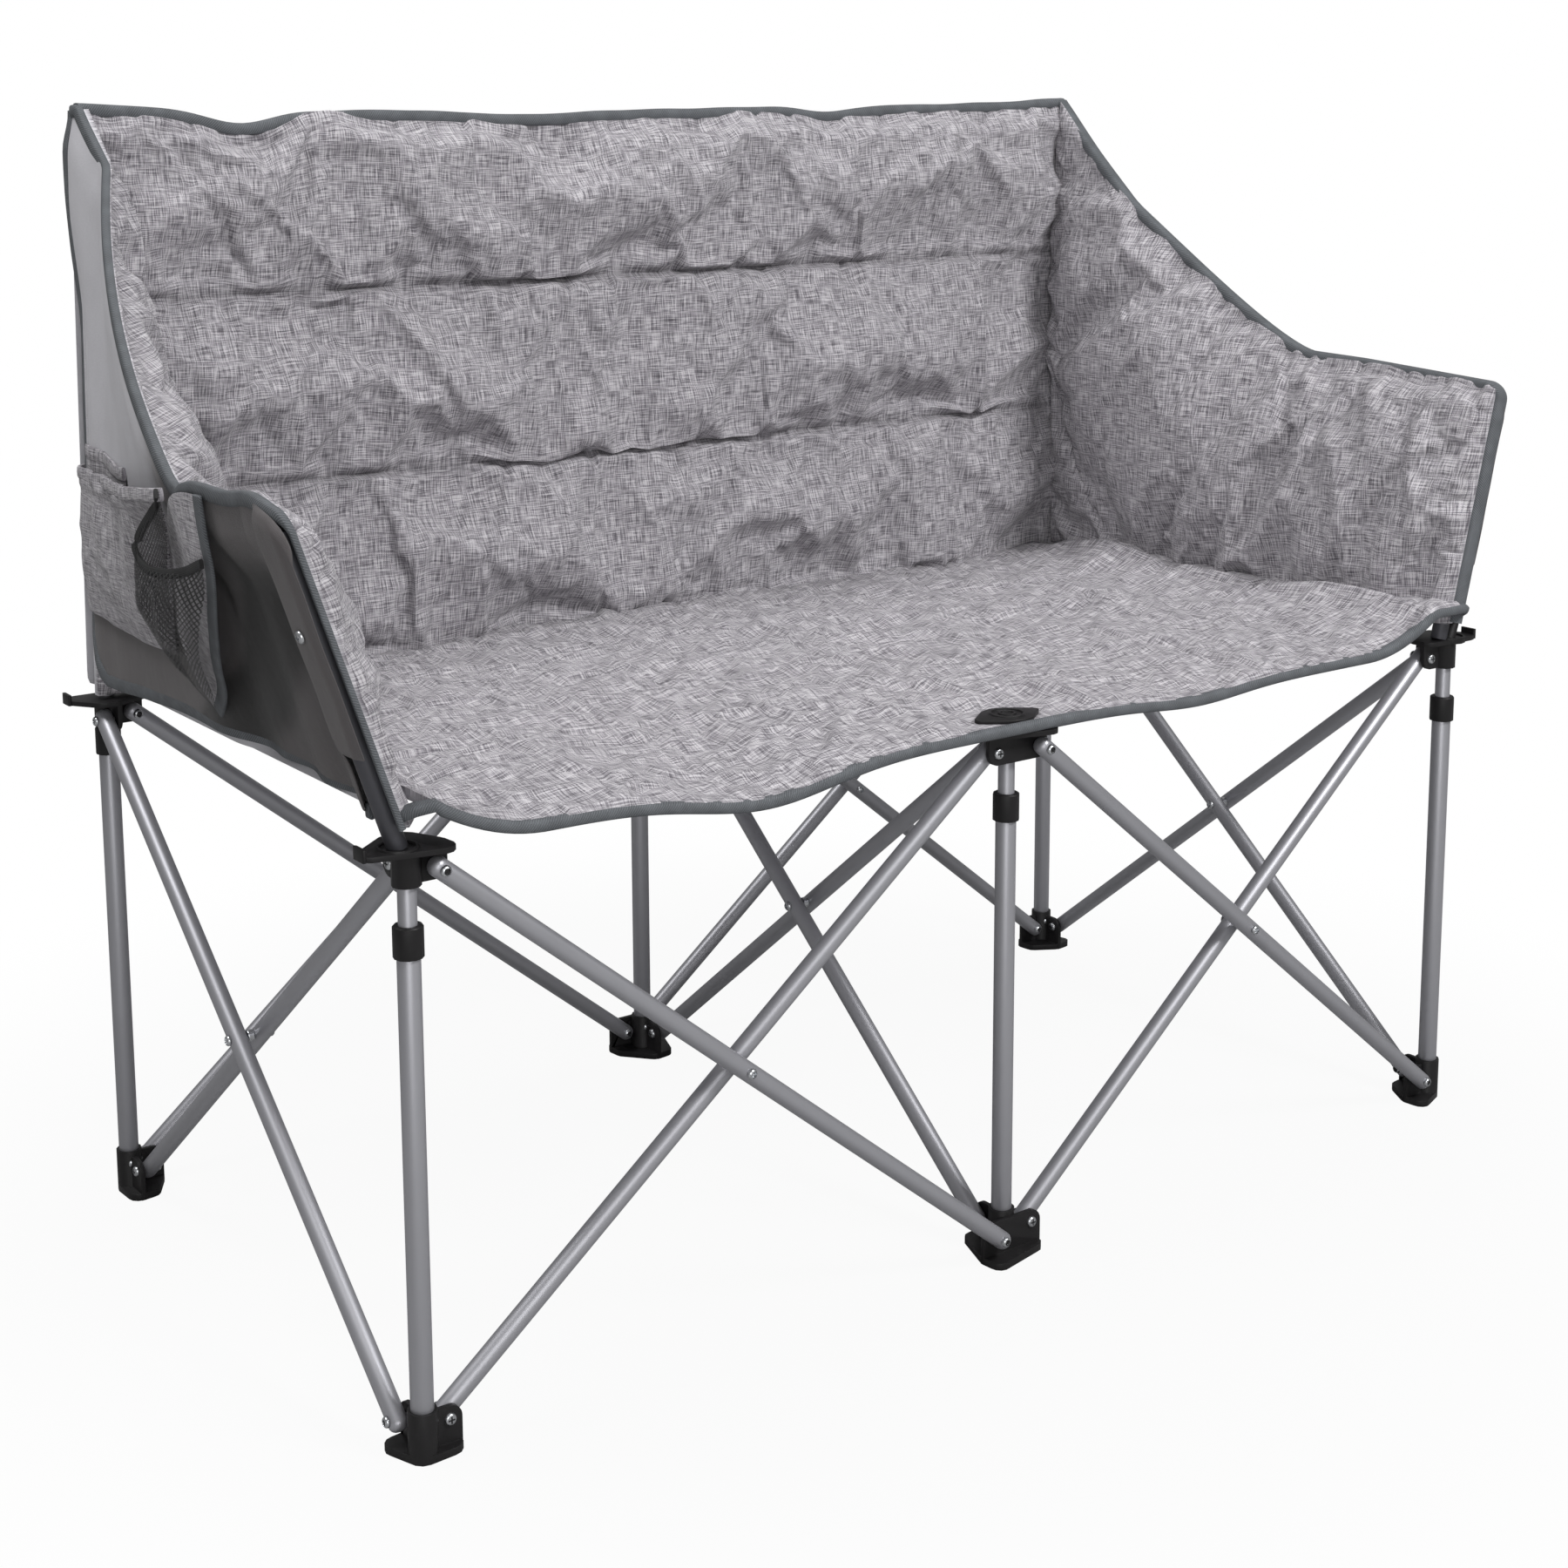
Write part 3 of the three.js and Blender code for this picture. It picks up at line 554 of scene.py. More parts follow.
def dress(piece, finish, body, slot, *nodes):
    """Gives a finished piece its finish, its body and the nodes that it stands for."""
    piece.data.materials.clear()
    piece.data.materials.append(finish_named(finish))
    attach(piece, body)
    if nodes:
        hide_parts(*nodes)
    return piece


def cylinder(name, sides, radius, depth, **settings):
    settings = {"vertices": sides, "radius": radius, "depth": depth, **settings}
    return added(name, bpy.ops.mesh.primitive_cylinder_add, **settings)


def round_ends(piece, axis, beyond, offset, segments):
    """Bevels the edges that lie further out along an axis than a limit."""
    points = piece.data.vertices
    pick(piece, "edges", lambda edge: abs(sum(points[v].co[axis] for v in edge.vertices)) > 2 * beyond)
    in_edit(piece, "EDGE")
    bpy.ops.mesh.bevel(offset=offset, segments=segments, affect="EDGES")
    out_of_edit()


def rounded(piece, width, angle):
    """Adds a bevel to the edges that turn by more than an angle, in degrees."""
    edges = piece.modifiers.new("edges", "BEVEL")
    edges.width = width
    edges.segments = 2
    edges.limit_method = "ANGLE"
    edges.angle_limit = math.radians(angle)


def upright_tube(name, x, y, low, high, radius):
    """An upright tube with a wall and rolled ends."""
    wall = frame_sizes().tube_wall
    middle = (x, y, (low + high) / 2)
    tube = cylinder(name, 32, radius, high - low, end_fill_type="NOTHING", location=middle)
    shell = tube.modifiers.new("wall", "SOLIDIFY")
    shell.thickness = wall
    shell.offset = -1
    rounded(tube, wall * 0.3, 60)
    apply_modifiers(tube)
    smooth(tube)
    return tube


class LOVESEAT_OT_leg_tubes(bpy.types.Operator):
    """Lower and upper tubes of the legs"""

    bl_idname = "loveseat.leg_tubes"
    bl_label = "Leg tubes"

    def execute(self, context):
        for leg in LEGS:
            for part, body in (("lower_tube", "leg"), ("upper_tube", "hub")):
                node = f"{part}_{leg}"
                low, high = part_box(node)
                x, y, _ = middle_of(node)
                radius = (high[0] - low[0]) / 2
                tube = upright_tube(f"{node}_steel", x, y, low[2], high[2], radius)
                if high[2] > PLATE_TOP + 0.1:
                    self.pull_in(tube, LEGS[leg][0])
                dress(tube, "grey_paint", f"{body}_{leg}", "grey_tube", node)
        return {"FINISHED"}

    def pull_in(self, tube, col):
        """Leans the part of a rear post that is inside the cover."""
        all_in_edit(tube)
        bpy.ops.mesh.bisect(plane_co=(0, 0, PLATE_TOP), plane_no=(0, 0, 1))
        out_of_edit()
        for vertex in tube.data.vertices:
            vertex.co.x -= col * float(pulled_in(vertex.co.z))


class LOVESEAT_OT_braces(bpy.types.Operator):
    """Scissor tubes with closed round ends"""

    bl_idname = "loveseat.braces"
    bl_label = "Scissor braces"

    def execute(self, context):
        sizes = frame_sizes()
        reach = BRACE_PITCH / 2 + sizes.brace_overhang
        lying = (0, math.pi / 2, 0)
        model = cylinder("brace_model", 28, sizes.brace_diameter / 2, 2 * reach, rotation=lying)
        round_ends(model, 0, 0.995 * reach, sizes.brace_round, 6)
        in_edit(model, "EDGE")
        for place in np.linspace(-0.9, 0.9, 19):
            bpy.ops.mesh.select_all(action="SELECT")
            bpy.ops.mesh.bisect(plane_co=(place * reach, 0, 0), plane_no=(1, 0, 0))
        out_of_edit()
        smooth(model, 60)
        for leg in LEGS:
            for other, turn, wall in lugs_of(leg):
                facing = facing_wall(leg, other)
                lean = Matrix.Identity(4)
                lean[1][0] = -(wall + facing) / BRACE_PITCH
                middle = (SPAN / 2, (wall - facing) / 2 - BRACE_PLANE, CROSS_HEIGHT)
                place = lug_frame(leg, turn) @ Matrix.Translation(middle)
                place = place @ Matrix.Rotation(BRACE_TILT, 4, "Y") @ lean
                node = f"brace_{leg}_to_{other}"
                dress(copy_of(model, f"{node}_steel", place), "grey_paint", node, "grey_tube", node)
        discard(model)
        return {"FINISHED"}


class LOVESEAT_OT_arm_posts(bpy.types.Operator):
    """Leaning posts inside the arms"""

    bl_idname = "loveseat.arm_posts"
    bl_label = "Arm posts"

    def execute(self, context):
        for side, col in SIDES:
            node = f"arm_post_{side}"
            low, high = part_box(node)
            radius = (high[1] - low[1]) / 2
            lean = ARM_LEAN[col]
            rise = (high[2] - PLATE_TOP) / math.cos(lean) - radius * math.tan(lean)
            post = upright_tube(f"{node}_steel", 0, 0, 0, rise, radius)
            foot = Matrix.Translation((col * (SPAN + ARM_BASE[col]), -ROW, PLATE_TOP))
            post.data.transform(foot @ Matrix.Rotation(col * lean, 4, "Y"))
            all_in_edit(post)
            cut = PLATE_TOP + REST_GAP
            bpy.ops.mesh.bisect(plane_co=(0, 0, cut), plane_no=(0, 0, 1), clear_inner=True, use_fill=False)
            out_of_edit()
            dress(post, "dark_paint", f"hub_front_{side}", "dark_tube", node)
        return {"FINISHED"}


def moulded(node):
    """A moulding's own solid with its facets merged and its edges rounded."""
    piece = copy_of(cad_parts[node], f"{node}_moulding", Matrix.Identity(4))
    all_in_edit(piece)
    bpy.ops.mesh.remove_doubles(threshold=1e-5)
    bpy.ops.mesh.dissolve_limited(angle_limit=math.radians(1))
    out_of_edit()
    rounded(piece, frame_sizes().edge_round, 42)
    apply_modifiers(piece)
    smooth(piece, 38)
    return piece


class LOVESEAT_OT_mouldings(bpy.types.Operator):
    """Feet, hubs, collars and the clamp plate"""

    bl_idname = "loveseat.mouldings"
    bl_label = "Mouldings"

    def execute(self, context):
        for leg in LEGS:
            for part, body in (("foot", "leg"), ("collar", "leg"), ("hub", "hub")):
                node = f"{part}_{leg}"
                dress(moulded(node), "black_plastic", f"{body}_{leg}", "black_moulding", node)
        plate = moulded("clamp_plate")
        dress(plate, "black_plastic", "hub_front_centre", "black_moulding", "clamp_plate")
        return {"FINISHED"}


# Rivets and screws

ARM_SCREW_Z = 0.606
ARM_SCREW_OUT = 0.0042
LEG_SCREW = (0.0065, 0.003)
HEAD_GAP = 0.0002
SPACER_R = 0.0048
SPACER_T = 0.0052
SPACER_EDGE = 0.0006


def dome_head(name, radius, height, slotted):
    """A round fastener head on the XY plane, with a cross recess if it is a screw."""
    head = cylinder(name, 20, radius, height, location=(0, 0, height / 2))
    round_ends(head, 2, height * 0.99, height * 0.95, 5)
    if slotted:
        for turn in (0, math.pi / 2):
            cutter = added(
                "recess",
                bpy.ops.mesh.primitive_cube_add,
                size=1,
                location=(0, 0, height),
                rotation=(0, 0, turn),
                scale=(radius * 1.15, radius * 0.26, height * 1.1),
            )
            cut = head.modifiers.new("recess", "BOOLEAN")
            cut.object = cutter
            cut.operation = "DIFFERENCE"
            apply_modifiers(head)
            discard(cutter)
    else:
        pick(head, "polygons", lambda face: face.normal.z > 0.95 and face.center.z > height * 0.9)
        in_edit(head, "FACE")
        bpy.ops.mesh.inset(thickness=radius * 0.12)
        bpy.ops.transform.translate(value=(0, 0, -height * 0.8))
        out_of_edit()
    smooth(head, 35)
    return head


def facing_place(frame_matrix, point, way):
    """A head's place: at a point of a lug's frame, looking along that frame's Y, forwards or back."""
    return frame_matrix @ Matrix.Translation(point) @ Matrix.Rotation(-way * math.pi / 2, 4, "X")


def carries_rivet(leg, other):
    """Whether the brace from a leg to another is the one of its cross that holds the rivet."""
    col, row = LEGS[leg]
    if LEGS[other][1] == row:
        return LEGS[other][0] - col == -row
    return row > 0 if col == 0 else col == -row


class LOVESEAT_OT_fasteners(bpy.types.Operator):
    """Rivets of the pivots and crossings, leg screws and the arms' dome screws"""

    bl_idname = "loveseat.fasteners"
    bl_label = "Rivets and screws"

    def execute(self, context):
        sizes = frame_sizes()
        rivet = dome_head("rivet_model", sizes.rivet_radius, sizes.rivet_height, False)
        screw = dome_head("screw_model", sizes.rivet_radius * 1.12, sizes.rivet_height, True)
        reach = BRACE_PLANE + BRACE_D / 2 + HEAD_GAP
        for leg in LEGS:
            for end, height, side in (("leg", PIVOT_LOW, 1), ("hub", PIVOT_HIGH, -1)):
                heads = []
                for other, turn, wall in lugs_of(leg):
                    turned = lug_frame(leg, turn)
                    near = (PIVOT_OFFSET, wall - side * LUG_T / 2, height)
                    far = (PIVOT_OFFSET, wall + side * reach, height)
                    heads.append(copy_of(screw, "head", facing_place(turned, near, -side)))
                    heads.append(copy_of(rivet, "head", facing_place(turned, far, side)))
                    if end == "leg" and wall == 0.0:
                        grip = (LEG_SCREW[0], wall - side * LUG_T / 2, height + LEG_SCREW[1])
                        heads.append(copy_of(screw, "head", facing_place(turned, grip, -side)))
                dress(joined(heads, f"rivets_{end}_{leg}"), "zinc_plate", f"{end}_{leg}", "grey_tube")
        for leg in LEGS:
            for other, turn, wall in lugs_of(leg):
                if not carries_rivet(leg, other):
                    continue
                facing = facing_wall(leg, other)
                turned = lug_frame(leg, turn)
                middle = (SPAN / 2, (wall - facing) / 2, CROSS_HEIGHT)
                heads = []
                for way in (-1, 1):
                    point = (middle[0], middle[1] + way * reach, middle[2])
                    heads.append(copy_of(rivet, "head", facing_place(turned, point, way)))
                spacer = cylinder("spacer", 20, SPACER_R, SPACER_T)
                round_ends(spacer, 2, SPACER_T * 0.48, SPACER_EDGE, 2)
                spacer.data.transform(facing_place(turned, middle, 1))
                heads.append(spacer)
                brace = f"brace_{leg}_to_{other}"
                dress(joined(heads, f"rivet_{brace}"), "zinc_plate", brace, "grey_tube")
        for side, col in SIDES:
            dome = copy_of(screw, f"arm_screw_{side}", Matrix.Identity(4))
            x = arm_x(0.0, ARM_SCREW_Z, col) + POST_CLEAR + ARM_SCREW_OUT
            turn = Matrix.Rotation(col * (math.pi / 2 + ARM_LEAN[col]), 4, "Y")
            dome.data.transform(Matrix.Translation((col * x, -ROW, ARM_SCREW_Z)) @ turn)
            dress(dome, "zinc_plate", f"hub_front_{side}", "grey_tube")
        discard(rivet)
        discard(screw)
        return {"FINISHED"}


# Cover: y counts back from the front legs here, and the sides share their functions

# Where the arm pads stay
PAD_ANCHOR = 0.026
# Back: its sewn lines, and the dents of its top as middle, width and depth
SEAMS = (0.622, 0.789)
BACK_DIPS = ((-0.405, 0.045, 0.012), (-0.12, 0.12, 0.004), (0.23, 0.035, 0.005))
BACK_IN = 0.0071
# Arms, by side where the two differ
ARM_UPRIGHT_Y = {-1: 0.480, 1: 0.420}
ARM_LEAN_LENGTH = {-1: 0.330, 1: 0.270}
ARM_CURVE = {-1: 1.25, 1: 1.3}
ARM_CORNER = 0.0175
ARM_KNEE_Y = 0.205
ARM_CLIMB = 0.325
ARM_FRONT_Y = -0.013
ARM_REAR_Y = 0.527
ARM_BOTTOM = 0.468
# Seat and linings
SEAT_REAR = 0.5296
SEAT_BORDER = 0.030
SEAT_FOLD = (SEAT_BORDER + SEAT_REAR) / 2
SLEEVE_END = 0.520
LINING_REAR = 0.550
LINING_OFF = 0.0045
# Tapes: thickness factors, counts of points, and the room that the pads leave them
DOWN = (0.0, 0.0, -1.0)
PADDED_TAPE = 2.4
LINING_TAPE = 0.8
BACK_TAPE_IN = 0.0085
SEAT_TAPE_ENDS = ((0.010, -0.012, 0.006), (0.004, -0.022, 0.012))
ARM_TAPE = {-1: (1.4, 0.005, 0.36), 1: (PADDED_TAPE, 0.015, 1)}
ARM_TAPE_TOP = 88
ARM_TAPE_FRONT = 50
TAPE_ZONE = 0.009
UNDER_ARM_TAPE = {-1: 0.0050, 1: 0.0095}
UNDER_BACK_TAPE = 0.0125
# Padded cloth: its least thickness, how far it may billow and how it is simulated
PAD_LEAST = 0.004
BILLOW_CAP = 0.018
CLOTH = {
    "quality": 5,
    "mass": 0.15,
    "air_damping": 4,
    "tension_stiffness": 12,
    "compression_stiffness": 12,
    "shear_stiffness": 4,
    "bending_stiffness": 0.15,
    "tension_damping": 12,
    "compression_damping": 12,
    "shear_damping": 8,
    "vertex_group_mass": "sewn",
    "use_pressure": True,
}


def eased(value):
    value = np.clip(value, 0, 1)
    return value * value * (3 - 2 * value)


def crown(value):
    return np.sqrt(np.clip(np.sin(np.pi * np.clip(value, 0, 1)), 0, None))


def hump(value, middle, width):
    return np.exp(-(((value - middle) / width) ** 2))


def mixed(first, second, share):
    return first + (second - first) * share


def stacked(*parts):
    """Coordinates, as arrays or single numbers, as one array of points."""
    return np.stack(np.broadcast_arrays(*parts), axis=-1)


def on_side(x, y, z, col):
    """Points of an arm in the frame, where x counts outwards."""
    return stacked(col * x, y - ROW, z)


def spread(first, second):
    return np.meshgrid(first, second, indexing="ij")


def unit_grid(rows, columns):
    return spread(np.linspace(0, 1, rows), np.linspace(0, 1, columns))


def edges_held(hold):
    """The weights of a grid's points with its four edges sewn down."""
    hold[[0, -1], :] = 1
    hold[:, [0, -1]] = 1
    return hold


def summed(steps):
    return np.concatenate([[0], np.cumsum(steps)])


def rough(points, scale, seed):
    """Smooth seeded noise from -1 to 1 at an array of points."""
    flat = np.asarray(points, float).reshape(-1, 3)
    shift = Vector((seed * 7.3, seed * 3.1, seed * 5.7))
    values = [noise.noise(Vector(p) * scale + shift) for p in flat]
    return np.array(values).reshape(np.asarray(points).shape[:-1])


def crumple(points, scale, seed):
    """Pinched folds that wander, with their crests outward."""
    points = np.asarray(points, float)
    drift = stacked(*(rough(points, scale * 0.6, seed + step) for step in range(3)))
    return 0.55 - 2.4 * np.abs(rough(points + drift * (0.5 / scale), scale, seed + 3))


def pinched(points, scale, seed):
    """Thin sharp folds here and there, with flat cloth between them."""
    lines = np.clip(1 - 6 * np.abs(rough(points, scale, seed)), 0, 1)
    return lines * np.clip(0.35 + 2.2 * rough(np.asarray(points) + 7.3, scale * 0.9, seed + 1), 0, 1)


def refined(grid):
    """The grid with a smooth point between each two of its points, both ways."""
    for axis in (0, 1):
        grid = np.moveaxis(grid, axis, 0)
        padded = np.concatenate([2 * grid[:1] - grid[1:2], grid, 2 * grid[-1:] - grid[-2:-1]])
        between = (9 * (grid[1:] + grid[:-1]) - padded[:-3] - padded[3:]) / 16
        finer = np.empty((2 * len(grid) - 1, *grid.shape[1:]))
        finer[::2] = grid
        finer[1::2] = between
        grid = np.moveaxis(finer, 0, axis)
    return grid


def pulled_in(z):
    """How far the cover draws the rear posts together towards their tops."""
    return 0.009 * np.clip((z - PLATE_TOP) / 0.5, 0, 1)


def arm_x(y, z, col):
    """Middle surface of an arm: it leans out with its post at the front and stands up at the rear."""
    forward = np.clip((ARM_UPRIGHT_Y[col] - y) / ARM_LEAN_LENGTH[col], 0, 1)
    rear = ARM_REAR - pulled_in(z) - 0.010 * eased((y - 0.50) / 0.045) * (1 - eased((z - 0.76) / 0.12))
    return SPAN + mixed(rear, ARM_BASE[col] + math.tan(ARM_LEAN[col]) * (z - PLATE_TOP), forward)


def arm_top(y, col):
    """Top edge of an arm: level over the post, then climbing to the back. The left one is dented."""
    sizes = cover()
    level = mixed(sizes.arm_front, sizes.arm_knee, (y + 0.010) / (ARM_KNEE_Y + 0.010))
    climb = np.clip((y - ARM_KNEE_Y) / ARM_CLIMB, 0, 1)
    top = np.where(y < ARM_KNEE_Y, level, mixed(sizes.arm_knee, sizes.back_top, climb ** ARM_CURVE[col]))
    if col < 0:
        top = top - 0.016 * hump(y, 0.185, 0.040) + 0.009 * hump(y, 0.028, 0.035)
    return top - ARM_CORNER + np.sqrt(ARM_CORNER**2 - np.clip(-y, 0, ARM_CORNER) ** 2)


def mesh_of(name, grids, uvs, closed):
    """A mesh from one grid of points, or a closed one from a front and a back grid."""
    rows, columns = grids[0].shape[:2]
    points = np.concatenate([g.reshape(-1, 3) for g in grids])

    def at(side, i, j):
        return (side * rows + i) * columns + j

    faces = []
    for side in range(len(grids)):
        for i in range(rows - 1):
            for j in range(columns - 1):
                quad = (at(side, i, j), at(side, i + 1, j), at(side, i + 1, j + 1), at(side, i, j + 1))
                faces.append(quad if side == 0 else quad[::-1])
    if closed:
        ring = [(i, 0) for i in range(rows)]
        ring += [(rows - 1, j) for j in range(1, columns)]
        ring += [(i, columns - 1) for i in range(rows - 2, -1, -1)]
        ring += [(0, j) for j in range(columns - 2, 0, -1)]
        for (i, j), (k, m) in zip(ring, ring[1:] + ring[:1]):
            faces.append((at(0, i, j), at(1, i, j), at(1, k, m), at(0, k, m)))
    mesh = bpy.data.meshes.new(name)
    mesh.from_pydata(points.tolist(), [], faces)
    layer = mesh.uv_layers.new(name="cut")
    flat = np.concatenate([uvs.reshape(-1, 2)] * len(grids))
    corners = np.empty(len(mesh.loops), dtype=np.int32)
    mesh.loops.foreach_get("vertex_index", corners)
    layer.data.foreach_set("uv", flat[corners].ravel())
    piece = bpy.data.objects.new(name, mesh)
    bpy.context.collection.objects.link(piece)
    return piece


def face_out(piece):
    all_in_edit(piece)
    bpy.ops.mesh.normals_make_consistent(inside=False)
    out_of_edit()


def billowed(grid, hold, pressure, slack, cap, frames=22):
    """The grid after its cloth has swelled and puckered between the points that hold it."""
    rows, columns = grid.shape[:2]
    cloth = mesh_of("billow", [grid], np.zeros((rows, columns, 2)), False)
    group = cloth.vertex_groups.new(name="sewn")
    for index, weight in enumerate(hold.ravel()):
        if weight > 0:
            group.add([index], float(weight), "REPLACE")
    billow = cloth.modifiers.new("billow", "CLOTH")
    settings = billow.settings
    for name, value in CLOTH.items():
        setattr(settings, name, value)
    settings.shrink_min = -slack
    settings.uniform_pressure_force = pressure
    settings.effector_weights.gravity = 0
    billow.collision_settings.use_collision = False
    billow.point_cache.frame_start = 1
    billow.point_cache.frame_end = frames
    scene = bpy.context.scene
    for step in range(1, frames + 1):
        scene.frame_set(step)
    shaped = cloth.evaluated_get(bpy.context.evaluated_depsgraph_get())
    points = np.array([v.co for v in shaped.data.vertices]).reshape(rows, columns, 3)
    discard(cloth)
    scene.frame_set(1)
    moved = points - grid
    far = np.linalg.norm(moved, axis=-1, keepdims=True)
    return grid + moved * np.minimum(1, cap / np.maximum(far, 1e-9))


def pad(name, front, back, uvs, seam=None):
    """A closed pad from its shaped front and its plain back."""
    piece = mesh_of(name, [front, back], uvs, True)
    seam = np.zeros(front.shape[:2]) if seam is None else seam
    plain = np.zeros(front.shape[:2])
    for label, values in (("seam", (seam, seam)), ("plain", (plain, plain + 1))):
        layer = piece.data.attributes.new(label, "FLOAT", "POINT")
        layer.data.foreach_set("value", np.concatenate([v.ravel() for v in values]).astype(np.float32))
    face_out(piece)
    smooth(piece, 60)
    return piece


def lined(name, sheet, uvs, thickness=0.0012, shade=None):
    """A sheet of cloth with a small thickness."""
    piece = mesh_of(name, [sheet], uvs, False)
    # An optional shade attribute, which the lining cloth turns into painted shade
    if shade is not None:
        layer = piece.data.attributes.new("shade", "FLOAT", "POINT")
        layer.data.foreach_set("value", shade.ravel().astype(np.float32))
    thick = piece.modifiers.new("cloth", "SOLIDIFY")
    thick.thickness = thickness
    thick.offset = 0
    finer = piece.modifiers.new("finer", "SUBSURF")
    finer.levels = 1
    finer.render_levels = 1
    apply_modifiers(piece)
    smooth(piece, 60)
    return piece


def tape_along(name, points, inward, width, thickness):
    """Folded tape along an edge: a flattened tube around each point, reaching inwards into the cloth."""
    points = np.asarray(points, float)
    inward = np.asarray(inward, float) * np.ones_like(points)
    tangent = np.gradient(points, axis=0)
    tangent /= np.linalg.norm(tangent, axis=1, keepdims=True)
    inward -= (inward * tangent).sum(axis=1, keepdims=True) * tangent
    inward /= np.linalg.norm(inward, axis=1, keepdims=True)
    normal = np.cross(tangent, inward)
    width = np.broadcast_to(width, len(points))
    thickness = np.broadcast_to(thickness, len(points))
    angles = np.linspace(0, 2 * np.pi, 13)
    wide = np.sign(np.cos(angles)) * np.abs(np.cos(angles)) ** 0.6
    thick = np.sign(np.sin(angles)) * np.abs(np.sin(angles)) ** 0.6
    grid = (
        points[:, None]
        + inward[:, None] * (width[:, None] * (0.42 + 0.5 * wide))[..., None]
        + normal[:, None] * (thickness[:, None] * 0.5 * thick)[..., None]
    )
    run = summed(np.linalg.norm(np.diff(points, axis=0), axis=1))
    around = summed(np.hypot(np.diff(wide) * width.mean() / 2, np.diff(thick) * thickness.mean() / 2))
    uvs = stacked(*spread(run, around))
    piece = mesh_of(name, [grid], uvs, False)
    all_in_edit(piece)
    bpy.ops.mesh.remove_doubles(threshold=1e-6)
    bpy.ops.mesh.select_all(action="DESELECT")
    bpy.ops.mesh.select_non_manifold()
    bpy.ops.mesh.fill_holes(sides=0)
    bpy.ops.mesh.select_all(action="SELECT")
    bpy.ops.mesh.normals_make_consistent(inside=False)
    out_of_edit()
    smooth(piece, 50)
    return piece


def squash_side(piece, anchor=ROW):
    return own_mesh(piece)


def squash_across(piece):
    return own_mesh(piece)


def side_tape(name, edge, inward, width, thickness, side="left", finish="edge_tape", slot="lining"):
    """Tape on the cover of an arm, which it folds with."""
    piece = tape_along(name, edge, inward, width, thickness)
    dress(piece, finish, f"hub_rear_{side}", slot)
    squash_side(piece)


def middle_tape(name, edge, inward, thickness, body):
    """Tape on the back or the seat, which it folds with."""
    piece = tape_along(name, edge, inward, cover().tape_width, thickness)
    dress(piece, "edge_tape", body, "lining")
    squash_across(piece)


def back_half(z):
    """Half width of the back, drawn in towards its top corners."""
    return 0.5575 - pulled_in(z)


def back_top(x):
    """Top edge of the back: high at its corners, with dents between the posts."""
    top = cover().back_top - 0.007 + 0.007 * (np.abs(x) / SPAN) ** 4
    for middle, width, depth in BACK_DIPS:
        top = top - depth * hump(x, middle, width)
    return top


def bay_sag(x):
    """Sag of the seat's edges between the hubs, deeper on the left."""
    return cover().seat_sag * (0.66 * hump(x, -0.26, 0.085) + 0.26 * hump(x, 0.19, 0.07))


class LOVESEAT_OT_back(bpy.types.Operator):
    """Padded back with its two sewn lines"""

    bl_idname = "loveseat.back"
    bl_label = "Back"

    def execute(self, context):
        sizes = cover()
        lines = [sizes.back_bottom, *SEAMS, sizes.back_top]
        rows = [np.linspace(a, b, 22)[:-1] for a, b in zip(lines, lines[1:])]
        heights = np.concatenate([*rows, [lines[-1]]])
        share, level = spread(np.linspace(-1, 1, 161), heights)
        x = share * back_half(level)
        lift = eased((level - SEAMS[1]) / (sizes.back_top - SEAMS[1]))
        drop = 0.4 * bay_sag(x) * (1 - eased((level - sizes.back_bottom) / 0.08))
        z = level + (back_top(x) - sizes.back_top) * lift - drop
        channel = np.clip(np.searchsorted(lines, level, side="right") - 1, 0, len(lines) - 2)
        lower, upper = np.array(lines)[channel], np.array(lines)[channel + 1]
        swell = crown((level - lower) / (upper - lower)) * crown((share + 1) / 2)
        near_seam = np.min([np.abs(level - line) for line in SEAMS], axis=0)
        rear = ROW - BACK_IN + 0.006 * eased((level - sizes.back_top + 0.03) / 0.03)
        flat = stacked(x, rear, z)
        front = flat.copy()
        front[..., 1] -= sizes.back_edge + sizes.back_crown * swell
        leaning = stacked(x + 0.35 * z, rear, 0.55 * z - 0.2 * x)
        folds = 0.55 * sizes.crease * crumple(leaning, 7, 1) + 0.25 * sizes.crease * crumple(leaning, 16, 11)
        puckers = rough(flat * [1, 1, 0.2], 36, 21) * hump(near_seam, 0, 0.022)
        front[..., 1] -= folds * swell + 0.4 * sizes.crease * puckers * np.clip(near_seam / 0.006, 0, 1)
        hold = edges_held(np.zeros_like(share))
        hold[near_seam < 1e-4] = 1
        front = billowed(front, hold, -1.0, sizes.slack, BILLOW_CAP)
        front[..., 1] = np.minimum(front[..., 1], flat[..., 1] - PAD_LEAST)
        front, flat, uvs = refined(front), refined(flat), refined(stacked(x, level))
        swell, near_seam = refined(swell), np.abs(refined(near_seam))
        u, v = uvs[..., 0], uvs[..., 1]
        upright = stacked(u + 0.25 * v, 0, 0.4 * v)
        slanting = stacked(u - 0.6 * v, 3, 0.6 * v)
        sharp = pinched(upright, 8, 71) + 0.8 * pinched(slanting, 11, 75) + 0.5 * pinched(upright, 19, 79)
        front[..., 1] -= sizes.pinch * sharp * swell**0.5
        below_tape = np.clip(sizes.back_top - v - TAPE_ZONE, 0, 1)
        front[..., 1] = np.maximum(front[..., 1], flat[..., 1] - UNDER_BACK_TAPE - 0.9 * below_tape)
        # The sewn lines' mask, along which the melange paints shade
        piece = pad("back_cushion", front, flat, uvs, hump(near_seam, 0, 0.0035))
        dress(piece, "melange_cloth", "hub_rear_centre", "melange", "back_pad")
        squash_across(piece)
        return {"FINISHED"}


